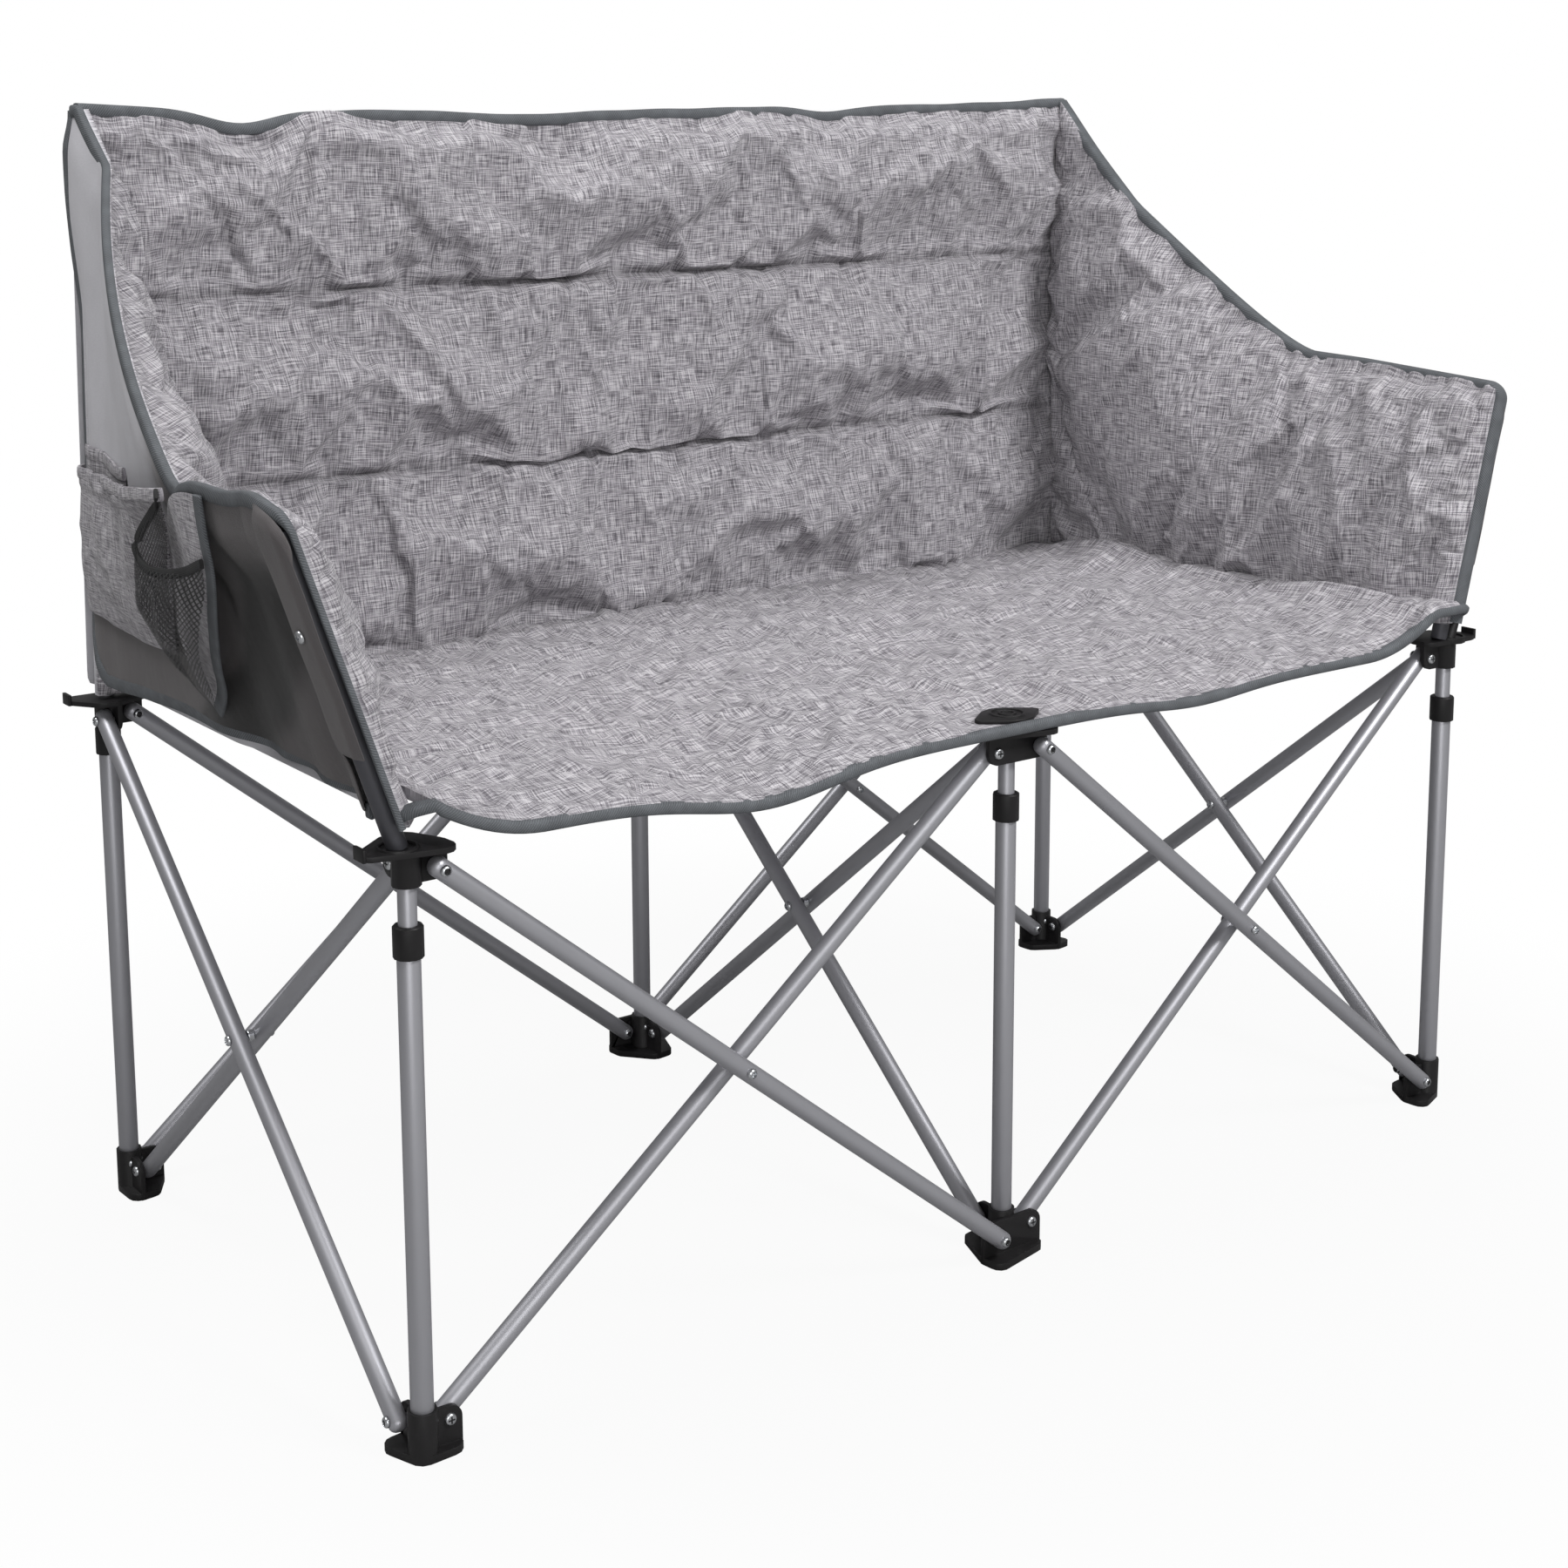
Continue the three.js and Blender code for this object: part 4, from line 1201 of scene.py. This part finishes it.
class LOVESEAT_OT_back_lining(bpy.types.Operator):
    """Plain cloth behind the back posts"""

    bl_idname = "loveseat.back_lining"
    bl_label = "Back lining"

    def execute(self, context):
        heights = np.linspace(0.458, cover().back_top - 0.004, 35)
        share, level = spread(np.linspace(-1, 1, 81), heights)
        x = share * (back_half(level) + 0.001)
        z = level + (back_top(x) - cover().back_top) * eased((level - SEAMS[1]) / 0.16)
        top = eased((level - cover().back_top + 0.020) / 0.018)
        between = np.sin(np.pi * np.clip(np.abs(x) / SPAN, 0, 1)) ** 2
        y = ROW + 0.0085 - 0.010 * top - 0.004 * between * (1 - top)
        sheet = stacked(x, y, z)
        folds = 0.003 * rough(sheet * [1.0, 1, 0.35], 14, 5) + 0.0015 * rough(sheet, 30, 6)
        sheet[..., 1] += folds * between * (1 - top)
        piece = lined("back_lining_cloth", sheet, stacked(x, level))
        dress(piece, "lining_cloth", "hub_rear_centre", "lining", "back_panel")
        squash_across(piece)
        return {"FINISHED"}


def seat_heights(x, y):
    """Underside of the seat: flat on the hubs, sagging between them and drawn up at its ends."""
    sizes = cover()
    inward = np.sin(np.pi * np.clip(y / SEAT_REAR, 0, 1)) ** 2
    of_middle = 0.1 * sizes.seat_sag * np.cos(np.pi / 2 * np.clip(np.abs(x) / SPAN, 0, 1)) ** 2
    of_bays = bay_sag(x) * mixed(1.0, 0.4, eased((y - 0.3) / 0.2))
    start = np.where(x < 0, 0.447, 0.405)
    ends = sizes.seat_lift * np.clip((np.abs(x) - start) / 0.09, 0, 1) ** 2 * (1 - 0.5 * inward)
    rear = 1 - 0.75 * eased((y - 0.40) / 0.12)
    return PLATE_TOP + REST_GAP - mixed(of_bays, of_middle, inward) + ends * rear


class LOVESEAT_OT_seat(bpy.types.Operator):
    """Padded seat in its border and two halves"""

    bl_idname = "loveseat.seat"
    bl_label = "Seat"

    def execute(self, context):
        sizes = cover()
        xs = np.linspace(-sizes.seat_half, sizes.seat_half, 165)
        parts = [
            ("seat_border", "hub_front_centre", np.linspace(-sizes.seat_front, SEAT_BORDER, 10)),
            ("seat_front", "seat_front_half", np.linspace(SEAT_BORDER, SEAT_FOLD, 39)),
            ("seat_rear", "seat_rear_half", np.linspace(SEAT_FOLD, SEAT_REAR, 39)),
        ]
        ys = np.concatenate([part[2][:-1] for part in parts] + [[SEAT_REAR]])
        x, y = spread(xs, ys)
        under = stacked(x, y - ROW, seat_heights(x, y))
        swell = crown((y + sizes.seat_front) / (SEAT_REAR + 0.09)) * crown((x / sizes.seat_half + 1) / 2)
        thickness = sizes.seat_edge + sizes.seat_crown * swell
        away = np.hypot(np.maximum(0, np.abs(x) - 0.034), np.maximum(0, np.abs(y) - 0.026))
        thickness = mixed(0.006, thickness, eased(away / 0.05))
        top = under.copy()
        lying = stacked(x, 1.7 * y + 0.3 * x, 0)
        folds = 0.45 * sizes.crease * crumple(lying, 8, 3) + 0.3 * sizes.crease * crumple(lying, 18, 13)
        top[..., 2] += thickness + folds * eased(away / 0.06) * swell
        hold = edges_held(np.where(away < 0.004, 1.0, 0.0))
        top = billowed(top, np.maximum(hold, 0.12), 0.3, sizes.slack * 0.6, 0.008)
        top[..., 2] = np.maximum(top[..., 2], under[..., 2] + PAD_LEAST)
        uvs = stacked(x, 0.6 * y)
        start = 0
        for node, body, lines in parts:
            rows = slice(start, start + len(lines))
            start += len(lines) - 1
            gap = np.zeros_like(top[:, rows])
            if node != "seat_rear":
                gap[:, -1, 1] -= 0.0001
            piece = pad(f"{node}_cushion", top[:, rows] + gap, under[:, rows] + gap, uvs[:, rows])
            dress(piece, "melange_cloth", body, "melange", node)
            squash_across(piece)
        return {"FINISHED"}


def recess(y, z, col):
    """How far the outer cloth of the left arm is drawn in between its sleeve and its pocket panel."""
    if col > 0:
        return np.zeros_like(y)
    along = eased((y - 0.020) / 0.022) * (1 - eased((y - 0.19) / 0.08))
    return 0.018 * along * eased((arm_top(y, col) - 0.03 - z) / 0.05)


class LOVESEAT_OT_arms(bpy.types.Operator):
    """Padded insides of the arms"""

    bl_idname = "loveseat.arms"
    bl_label = "Arms"

    def execute(self, context):
        sizes = cover()
        for side, col in SIDES:
            share, up = unit_grid(81, 47)
            y = mixed(ARM_FRONT_Y, ARM_REAR_Y, share)
            z = mixed(ARM_BOTTOM, arm_top(y, col), up)
            close = np.maximum(eased((up - 0.88) / 0.12), 1 - eased((y - ARM_FRONT_Y) / 0.010))
            outer = arm_x(y, z, col) - mixed(POST_CLEAR, 0.0015, close)
            swell = crown(share) ** 0.8 * crown(up) ** 0.8
            inner = outer - sizes.arm_edge - sizes.arm_crown * swell
            slanting = stacked(0.3 * col, 0.8 * y + 0.6 * z, 0.5 * (0.8 * z - 0.6 * y))
            folds = 1.1 * sizes.crease * crumple(slanting, 9, 30 + col)
            folds = folds + 0.5 * sizes.crease * crumple(slanting, 19, 40)
            inner = inner - folds * swell
            drawn = np.maximum(outer - 0.7 * recess(y, z, col), inner + PAD_LEAST)
            flat = on_side(np.minimum(outer, drawn), y, z, col)
            front = on_side(inner, y, z, col)
            hold = edges_held(np.zeros_like(share))
            front = billowed(front, hold, -col * 1.0, sizes.slack * 1.1, BILLOW_CAP)
            front[..., 0] = col * np.minimum(col * front[..., 0], col * flat[..., 0] - 0.003)
            front, flat, uvs, swell = (refined(g) for g in (front, flat, stacked(y, z), swell))
            u, v = uvs[..., 0], uvs[..., 1]
            falling = stacked(u + 0.7 * v, col, 0.5 * v)
            upright = stacked(u - 0.2 * v, col, 0.45 * v)
            sharp = pinched(falling, 12, 81) + pinched(upright, 10, 85) + 0.6 * pinched(falling, 22, 89)
            front[..., 0] -= col * 1.7 * sizes.pinch * sharp * swell**0.5
            below_tape = np.clip(arm_top(u, col) - v - TAPE_ZONE, 0, 1)
            under_tape = UNDER_ARM_TAPE[col] + 0.9 * below_tape
            front[..., 0] = col * np.maximum(col * front[..., 0], col * flat[..., 0] - under_tape)
            piece = pad(f"arm_cushion_{side}", front, flat, uvs)
            dress(piece, "melange_cloth", f"hub_rear_{side}", "melange", f"arm_pad_{side}")
            squash_side(piece, ROW - PAD_ANCHOR)
        return {"FINISHED"}


def panel_offset(y, z, col):
    """How far the outer cloth stands off an arm's middle surface."""
    sleeve = (1 - eased((np.abs(y) - 0.012) / 0.018)) * eased((z - SLEEVE_END + 0.006) / 0.006)
    rear = eased((y - 0.47) / 0.05) * (1 - 0.6 * eased((y - 0.525) / 0.025))
    close = eased((z - arm_top(y, col) + mixed(0.037, 0.011, sleeve)) / mixed(0.03, 0.009, sleeve))
    body = LINING_OFF + (POST_CLEAR + 0.0008 - LINING_OFF) * np.maximum(sleeve, rear)
    front = 1 - eased((y + 0.0175) / 0.009)
    return mixed(mixed(body - recess(y, z, col), 0.0055, front), 0.0015, close)


def lining_x(y, z, col):
    """The outer cloth of an arm with its folds."""
    free = eased((y - 0.03) / 0.05) * eased((0.53 - y) / 0.08) * eased((arm_top(y, col) - 0.002 - z) / 0.05)
    folds = 0.0032 * np.sin(2 * np.pi * (y + 0.10 * z) / 0.07) * eased((0.30 - y) / 0.15)
    points = stacked(0.5, y, 0.4 * z)
    folds = folds + 0.0035 * rough(points, 16, 21 + col)
    return arm_x(y, z, col) + panel_offset(y, z, col) + free * folds


def lining_hem(y):
    """Lower edge of the outer cloth. Over the post it ends higher, with the sleeve."""
    hem = 0.470 + 0.012 * hump(y, 0.30, 0.13) + 0.075 * np.clip((y - 0.488) / 0.062, 0, 1) ** 1.6
    return mixed(SLEEVE_END, hem, eased((y - 0.004) / 0.008))


class LOVESEAT_OT_side_linings(bpy.types.Operator):
    """Plain cloth on the outsides of the arms, with the sleeves of the arm posts"""

    bl_idname = "loveseat.side_linings"
    bl_label = "Side linings"

    def execute(self, context):
        along = np.concatenate([np.linspace(0.036, 0.045, 5), np.linspace(0.052, LINING_REAR, 66)])
        for side, col in SIDES:
            y, up = spread(along, np.linspace(0, 1, 37))
            z = mixed(lining_hem(y), arm_top(y, col) - 0.002, up)
            sheet = on_side(lining_x(y, z, col), y, z, col)
            # Painted shade on the outer cloth: the shaded lining tone at the front of the arm and low down
            # under the pockets
            shade = np.maximum(1 - eased((y - 0.20) / 0.10), 1 - eased((z - 0.53) / 0.04))
            if col < 0:
                # Painted shadow, near black, in the recess behind the free edge of the loose pocket panel
                ahead = y - panel_front(z)
                behind = eased((ahead + 0.105) / 0.06) * (1 - eased((ahead - 0.02) / 0.03))
                shade = shade + behind * eased((0.67 - z) / 0.05)
            piece = lined(f"side_lining_{side}", sheet, stacked(y, z), shade=shade)
            dress(piece, "lining_cloth", f"hub_rear_{side}", "lining", f"side_panel_{side}")
            squash_side(piece)
            self.sleeve(side, col)
        return {"FINISHED"}

    def sleeve(self, side, col):
        """Sleeve of an arm post, which stays round its post as the arm folds."""
        y, up = spread(np.linspace(-0.0178, 0.047, 34), np.linspace(0, 1, 33))
        low = mixed(SLEEVE_END, lining_hem(y) + 0.004, eased((y - 0.010) / 0.008))
        z = mixed(low, arm_top(y, col) - 0.0035, up)
        x = lining_x(y, z, col) + 0.0014 + 0.0012 * rough(stacked(0, 2 * y, z), 26, 93 + col)
        sheet = on_side(x, y, z, col)
        # The whole sleeve takes the shaded lining tone: painted shade
        piece = lined(f"post_sleeve_{side}", sheet, stacked(y, z), shade=np.ones_like(y))
        dress(piece, "lining_cloth", f"hub_front_{side}", "lining")


# Pockets of the left arm: edges of the loose panel, the pouch and the net, and the points of its strap

PANEL_REAR = 0.384
PANEL_BOTTOM = 0.497
PANEL_TOP = 0.690
PANEL_SHOULDER = 0.652
PANEL_REAR_BOTTOM = 0.556
POUCH_REAR = 0.528
POUCH_FRONT = (0.300, 0.185)
POUCH_BOTTOM = 0.534
POUCH_MOUTH = 0.654
POUCH_RISE = 0.029
POUCH_BACK = (0.392, 0.534)
POUCH_CLOTH = 0.0018
NET_LOW = (0.508, 0.535)
NET_REAR = 0.285
STRAP = (
    (0.102, 0.645, 0.017),
    (0.150, 0.631, 0.026),
    (0.205, 0.624, 0.034),
    (0.232, 0.628, 0.035),
    (0.238, 0.642, 0.032),
    (0.215, 0.665, 0.018),
    (0.184, 0.683, 0.007),
)


def panel_front(z):
    """Free front edge of the loose panel that carries the net: upright, then sweeping back."""
    return 0.100 + 0.125 * np.clip((0.645 - z) / 0.137, 0, 1.15) ** 1.6


def panel_wall(y, z):
    """Outside of the loose panel, which stands off along its free edge and is sewn in at its top."""
    loose = 1 - eased((y - panel_front(z)) / 0.17)
    stand = np.clip(np.sin(np.pi * np.clip((z - 0.49) / 0.21, 0, 1)), 0, 1)
    return arm_x(y, z, -1) + LINING_OFF + (0.0025 + 0.014 * loose) * stand


def lining_wall(y, z):
    return np.maximum(lining_x(y, z, -1), arm_x(y, z, -1) + LINING_OFF) + 0.004


def through(points, count):
    """A smooth line through a few points."""
    points = np.asarray(points, float)
    points = np.concatenate([2 * points[:1] - points[1:2], points, 2 * points[-1:] - points[-2:-1]])
    place = np.linspace(0, len(points) - 3 - 1e-9, count)
    start = place.astype(int)
    t = (place - start)[:, None]
    a, b, c, d = (points[start + step] for step in range(4))
    return b + 0.5 * t * (c - a + t * (2 * a - 5 * b + 4 * c - d + t * (3 * (b - c) + d - a)))


class LOVESEAT_OT_pocket_panel(bpy.types.Operator):
    """Loose panel of the left arm, with its slanting free edge"""

    bl_idname = "loveseat.pocket_panel"
    bl_label = "Pocket panel"

    def execute(self, context):
        share, up = unit_grid(41, 35)
        y = mixed(panel_front(mixed(PANEL_BOTTOM, PANEL_TOP, up)), PANEL_REAR, share)
        upper = mixed(arm_top(y, -1) - 0.006, PANEL_SHOULDER, eased((y - 0.17) / 0.06))
        z = mixed(mixed(PANEL_BOTTOM, PANEL_REAR_BOTTOM, eased(share / 0.4)), upper, up)
        x = panel_wall(y, z)
        sheet = stacked(x, y, z)
        x = x + 0.002 * rough(sheet, 18, 31) * eased((arm_top(y, -1) - z) / 0.06)
        sheet = on_side(x, y, z, -1)
        piece = lined("pocket_panel_cloth", sheet, stacked(y, z))
        dress(piece, "melange_cloth", "hub_rear_left", "melange")
        squash_side(piece)
        side_tape("pocket_tape", sheet[0], (0.0, 1.0, 0.3), 0.013, 0.0036)
        return {"FINISHED"}


class LOVESEAT_OT_pouch(bpy.types.Operator):
    """Cloth pouch at the rear of the left arm, with its mouth open"""

    bl_idname = "loveseat.pouch"
    bl_label = "Pouch"

    def execute(self, context):
        share, up = unit_grid(65, 45)
        y = mixed(mixed(*POUCH_FRONT, up**1.5), POUCH_REAR, share)
        mouth = POUCH_MOUTH + POUCH_RISE * np.clip((POUCH_REAR - y) / 0.345, 0, 1) ** 1.6
        z = mixed(POUCH_BOTTOM - 0.006 * np.sin(np.pi * share), mouth, up)
        full = crown(share) * np.sin(np.pi / 2 * np.clip(up * 1.3, 0, 1)) ** 0.7
        x = np.maximum(lining_wall(y, z), panel_wall(y, z) + 0.002) + 0.014 * full
        sheet = stacked(x, y, z)
        x = x + (0.006 * crumple(sheet * [1, 1, 0.6], 15, 41) + 0.003 * crumple(sheet, 30, 45)) * full
        x = x + 0.0016 * eased((up - 0.86) / 0.03)
        sheet = on_side(x, y, z, -1)
        front = lined("pouch_cloth", sheet, stacked(y, z), POUCH_CLOTH)
        dress(front, "melange_cloth", "hub_rear_left", "melange", "pouch_pocket")
        squash_side(front)
        melange = {"finish": "melange_cloth", "slot": "melange"}
        side_tape("pouch_hem", sheet[:, -1], DOWN, 0.010, 0.0042, **melange)

        y, up = spread(np.linspace(*POUCH_BACK, 25), np.linspace(0, 1, 15))
        z = mixed(0.590, 0.668 + 0.003 * np.sin(40 * y), up)
        x = lining_wall(y, z) - 0.002
        sheet = on_side(x, y, z, -1)
        back = lined("pouch_back", sheet, stacked(y, z), POUCH_CLOTH)
        dress(back, "melange_cloth", "hub_rear_left", "melange")
        squash_side(back)
        side_tape("pouch_back_hem", sheet[:, -1], DOWN, 0.011, 0.0036, **melange)
        return {"FINISHED"}


class LOVESEAT_OT_cup_net(bpy.types.Operator):
    """Net cup holder with its elastic rim, slung between the loose panel and the pouch"""

    bl_idname = "loveseat.cup_net"
    bl_label = "Cup holder"

    def execute(self, context):
        strap = through(STRAP, 57)
        rim_y, rim_z, rim_off = (strap[:, k][:, None] for k in range(3))
        share, up = unit_grid(57, 49)
        low_y = mixed(panel_front(NET_LOW[0]), NET_REAR, share)
        low_z = mixed(*NET_LOW, share)
        z = mixed(low_z, rim_z, up)
        lag = mixed(low_y - panel_front(low_z), rim_y - panel_front(rim_z), up**0.8)
        y = panel_front(z) + lag
        rim_x = arm_x(rim_y, rim_z, -1) + rim_off
        bag = np.sin(np.pi * share**0.7) * np.sin(np.pi * up) ** 0.8
        low_x = np.maximum(panel_wall(y, z), lining_wall(y, z)) + 0.006
        x = np.maximum(mixed(low_x, rim_x, eased(up)) + 0.010 * bag, low_x)
        sheet = stacked(x, y, z)
        x = x + (0.007 * crumple(sheet * [1, 1.2, 0.8], 17, 51) + 0.003 * rough(sheet, 40, 55)) * bag
        sheet = on_side(x, y, z, -1)
        net = lined("cup_net", sheet, stacked(mixed(0.0, 0.24, share), z), 0.0008)
        dress(net, "black_net", "hub_rear_left", "net", "cup_holder")
        squash_side(net)
        side_tape("cup_rim", sheet[:, -1], DOWN, 0.0075, 0.0034, finish="black_elastic", slot="net")
        return {"FINISHED"}


class LOVESEAT_OT_tapes(bpy.types.Operator):
    """Tape along the free edges of the cover"""

    bl_idname = "loveseat.tapes"
    bl_label = "Edge tapes"

    def execute(self, context):
        sizes = cover()
        width, thickness = sizes.tape_width, sizes.tape_thickness
        x = np.linspace(-0.549, 0.549, 150)
        top = stacked(x, ROW - BACK_TAPE_IN, back_top(x) + 0.001)
        top[:, 2] += 0.0015 * rough(top, 18, 61)
        middle_tape("back_tape", top, DOWN, thickness * PADDED_TAPE, "hub_rear_centre")
        for side, col in SIDES:
            self.arm(side, col)
            y = np.linspace(0.014, LINING_REAR, 90)
            z = lining_hem(y)
            edge = on_side(lining_x(y, z, col), y, z, col)
            side_tape(f"hem_tape_{side}", edge, (0.0, 0.0, 1.0), width, thickness * LINING_TAPE, side)
            z = np.linspace(lining_hem(LINING_REAR) + 0.004, sizes.back_top - 0.004, 60)
            y = np.full_like(z, LINING_REAR)
            edge = on_side(lining_x(y, z, col), y, z, col)
            edge[:, 0] += 0.0015 * rough(edge, 16, 65 + col)
            side_tape(f"rear_tape_{side}", edge, (0.0, -1.0, 0.0), width, thickness * LINING_TAPE, side)
        x = np.linspace(-sizes.seat_half, sizes.seat_half, 140)
        y = np.full_like(x, -sizes.seat_front)
        front = stacked(x, y - ROW - 0.002, seat_heights(x, y) + sizes.seat_edge * 0.5)
        corner = np.array([SPAN, -ROW, ARM_BOTTOM]) + SEAT_TAPE_ENDS
        front = np.concatenate([corner * [-1, 1, 1], front, corner[::-1]])
        middle_tape("seat_tape", front, (0.0, 1.0, 0.0), sizes.seat_edge * 1.1, "hub_front_centre")
        return {"FINISHED"}

    def arm(self, side, col):
        """From the back's corner along the top of an arm and down its front."""
        sizes = cover()
        level = arm_top(np.zeros(1), col)[0]
        turn = np.linspace(0, np.pi / 2, 14)[1:-1]
        radius = ARM_CORNER - 0.0005
        over, ahead = np.ones(ARM_TAPE_TOP), np.ones(ARM_TAPE_FRONT)
        top = np.linspace(0.542, 0.0, ARM_TAPE_TOP)
        y = np.concatenate([top, -radius * np.sin(turn), -radius * ahead])
        front = np.linspace(level - radius, ARM_BOTTOM, ARM_TAPE_FRONT)
        z = np.concatenate([arm_top(top, col), level - radius + radius * np.cos(turn), front])
        down = eased((np.arange(len(y)) - ARM_TAPE_TOP + 1) / 14)
        out = 0.003 * eased((y - 0.47) / 0.06) + (0.0065 * down - 0.003 if col > 0 else 0)
        edge = on_side(arm_x(y, z, col) - 0.002 + out, y, z, col)
        factor, front_thickness, front_share = ARM_TAPE[col]
        width = sizes.tape_width * mixed(1, front_share, down)
        thickness = mixed(sizes.tape_thickness * factor, front_thickness, down)
        inward = np.zeros_like(edge)
        inward[:, 1] = np.concatenate([0 * over, np.sin(turn), ahead])
        inward[:, 2] = -np.concatenate([over, np.cos(turn), 0 * ahead])
        rows = slice(0, ARM_TAPE_TOP + 1)
        side_tape(f"arm_tape_{side}", edge[rows], inward[rows], width[rows], thickness[rows], side)
        rows = slice(ARM_TAPE_TOP, None)
        piece = tape_along(f"arm_front_tape_{side}", edge[rows], inward[rows], width[rows], thickness[rows])
        dress(piece, "edge_tape", f"hub_front_{side}", "lining")


# Stage: lamps with their places, sizes and watts, and the camera fitted to the photograph, in its pixels

LAMPS = (
    ("key", (1.1, -2.85, 3.25), 1.0, 131),
    ("side", (-1.6, 0.5, 3.7), 1.4, 70),
    ("front", (-1.8, -3.0, 1.2), 1.8, 34),
)
LAMP_TARGET = (0, 0, 0.5)
SURROUND_LIGHT = 0.3
SURROUND_SEEN = 1.0
SENSOR = 36
PHOTO_SIZE = 1800
PHOTO_FOCAL = 2804.5
PHOTO_CENTRE = (839.6, 586.75)
CAMERA_PLACE = (-1.28961, -1.43596 - ROW, 0.94638)
CAMERA_TURN = 35.345
CAMERA_DIP = 9.426
CAMERA_ROLL = 0.409


class LOVESEAT_OT_stage(bpy.types.Operator):
    """Pale floor, soft lamps, white surround and the camera"""

    bl_idname = "loveseat.stage"
    bl_label = "Stage"

    def execute(self, context):
        scene = context.scene
        scene.view_settings.view_transform = "Standard"
        floor = added("floor", bpy.ops.mesh.primitive_plane_add, size=40, location=(0, 0, 0))
        paper = Finish("white_paper")
        paper.set(Base_Color=(0.35, 0.35, 0.35), Roughness=0.9)
        seen = paper.node("ShaderNodeLightPath")
        reach = paper.node("ShaderNodeVectorMath", {"operation": "LENGTH"}, {0: paper.place()}, output=1)
        far = paper.node("ShaderNodeEmission", inputs={"Color": (1, 1, 1), "Strength": 1.0})
        share = seen * (0.94 + 0.06 * reach.ramp(0.5, 1.1))
        blend = paper.node("ShaderNodeMixShader", inputs={0: share, 2: far})
        paper.tree.links.new(paper.surface.outputs[0], blend.socket.node.inputs[1])
        output = next(n for n in paper.tree.nodes if n.type == "OUTPUT_MATERIAL")
        paper.tree.links.new(blend.socket, output.inputs[0])
        floor.data.materials.append(paper.material)

        world = scene.world or bpy.data.worlds.new("surround")
        scene.world = world
        world.use_nodes = True
        tree = world.node_tree
        tree.nodes.clear()
        path = tree.nodes.new("ShaderNodeLightPath")
        either = tree.nodes.new("ShaderNodeMixShader")
        end = tree.nodes.new("ShaderNodeOutputWorld")
        tree.links.new(path.outputs["Is Camera Ray"], either.inputs[0])
        for socket, strength in ((1, SURROUND_LIGHT), (2, SURROUND_SEEN)):
            surround = tree.nodes.new("ShaderNodeBackground")
            surround.inputs[0].default_value = (1, 1, 1, 1)
            surround.inputs[1].default_value = strength
            tree.links.new(surround.outputs[0], either.inputs[socket])
        tree.links.new(either.outputs[0], end.inputs[0])

        for name, place, size, power in LAMPS:
            lamp = bpy.data.lights.new(name, "AREA")
            lamp.size = size
            lamp.energy = power
            holder = bpy.data.objects.new(name, lamp)
            holder.location = place
            aim = Vector(LAMP_TARGET) - Vector(place)
            holder.rotation_euler = aim.to_track_quat("-Z", "Y").to_euler()
            scene.collection.objects.link(holder)

        lens = bpy.data.cameras.new("camera")
        lens.sensor_width = SENSOR
        lens.lens = PHOTO_FOCAL / PHOTO_SIZE * SENSOR
        lens.shift_x = (PHOTO_SIZE / 2 - PHOTO_CENTRE[0]) / PHOTO_SIZE
        lens.shift_y = -(PHOTO_SIZE / 2 - PHOTO_CENTRE[1]) / PHOTO_SIZE
        lens.clip_end = 100
        camera = bpy.data.objects.new("camera", lens)
        turn = Matrix.Rotation(-math.radians(CAMERA_TURN), 4, "Z")
        turn = turn @ Matrix.Rotation(math.radians(90 - CAMERA_DIP), 4, "X")
        place = Matrix.Translation(CAMERA_PLACE) @ turn
        camera.matrix_world = place @ Matrix.Rotation(math.radians(-CAMERA_ROLL), 4, "Z")
        scene.collection.objects.link(camera)
        scene.camera = camera
        return {"FINISHED"}


class LOVESEAT_PT_panel(bpy.types.Panel):
    """Lists the pieces of the loveseat"""

    bl_idname = "LOVESEAT_PT_panel"
    bl_label = "Loveseat"
    bl_space_type = "VIEW_3D"
    bl_region_type = "UI"
    bl_category = "Loveseat"

    def draw(self, context):
        for operator in OPERATORS:
            self.layout.operator(operator.bl_idname)
        for group in (frame_sizes(), cover(), colours()):
            box = self.layout.box()
            for name in group.__annotations__:
                box.prop(group, name)


OPERATORS = (
    LOVESEAT_OT_leg_tubes,
    LOVESEAT_OT_braces,
    LOVESEAT_OT_arm_posts,
    LOVESEAT_OT_mouldings,
    LOVESEAT_OT_fasteners,
    LOVESEAT_OT_back,
    LOVESEAT_OT_back_lining,
    LOVESEAT_OT_seat,
    LOVESEAT_OT_arms,
    LOVESEAT_OT_side_linings,
    LOVESEAT_OT_pocket_panel,
    LOVESEAT_OT_pouch,
    LOVESEAT_OT_cup_net,
    LOVESEAT_OT_tapes,
    LOVESEAT_OT_stage,
)
GROUPS = {
    "loveseat_frame": LoveseatFrameSizes,
    "loveseat_cover": LoveseatCoverSizes,
    "loveseat_colours": LoveseatColours,
}


def register():
    for group in GROUPS.values():
        bpy.utils.register_class(group)
    for name, group in GROUPS.items():
        setattr(bpy.types.Scene, name, bpy.props.PointerProperty(type=group))
    for operator in OPERATORS:
        bpy.utils.register_class(operator)
    bpy.utils.register_class(LOVESEAT_PT_panel)


def unregister():
    bpy.utils.unregister_class(LOVESEAT_PT_panel)
    for operator in reversed(OPERATORS):
        bpy.utils.unregister_class(operator)
    for name in GROUPS:
        delattr(bpy.types.Scene, name)
    for group in GROUPS.values():
        bpy.utils.unregister_class(group)


def main():
    register()
    for operator in OPERATORS:
        group, name = operator.bl_idname.split(".")
        getattr(getattr(bpy.ops, group), name)()


if __name__ == "__main__":
    main()
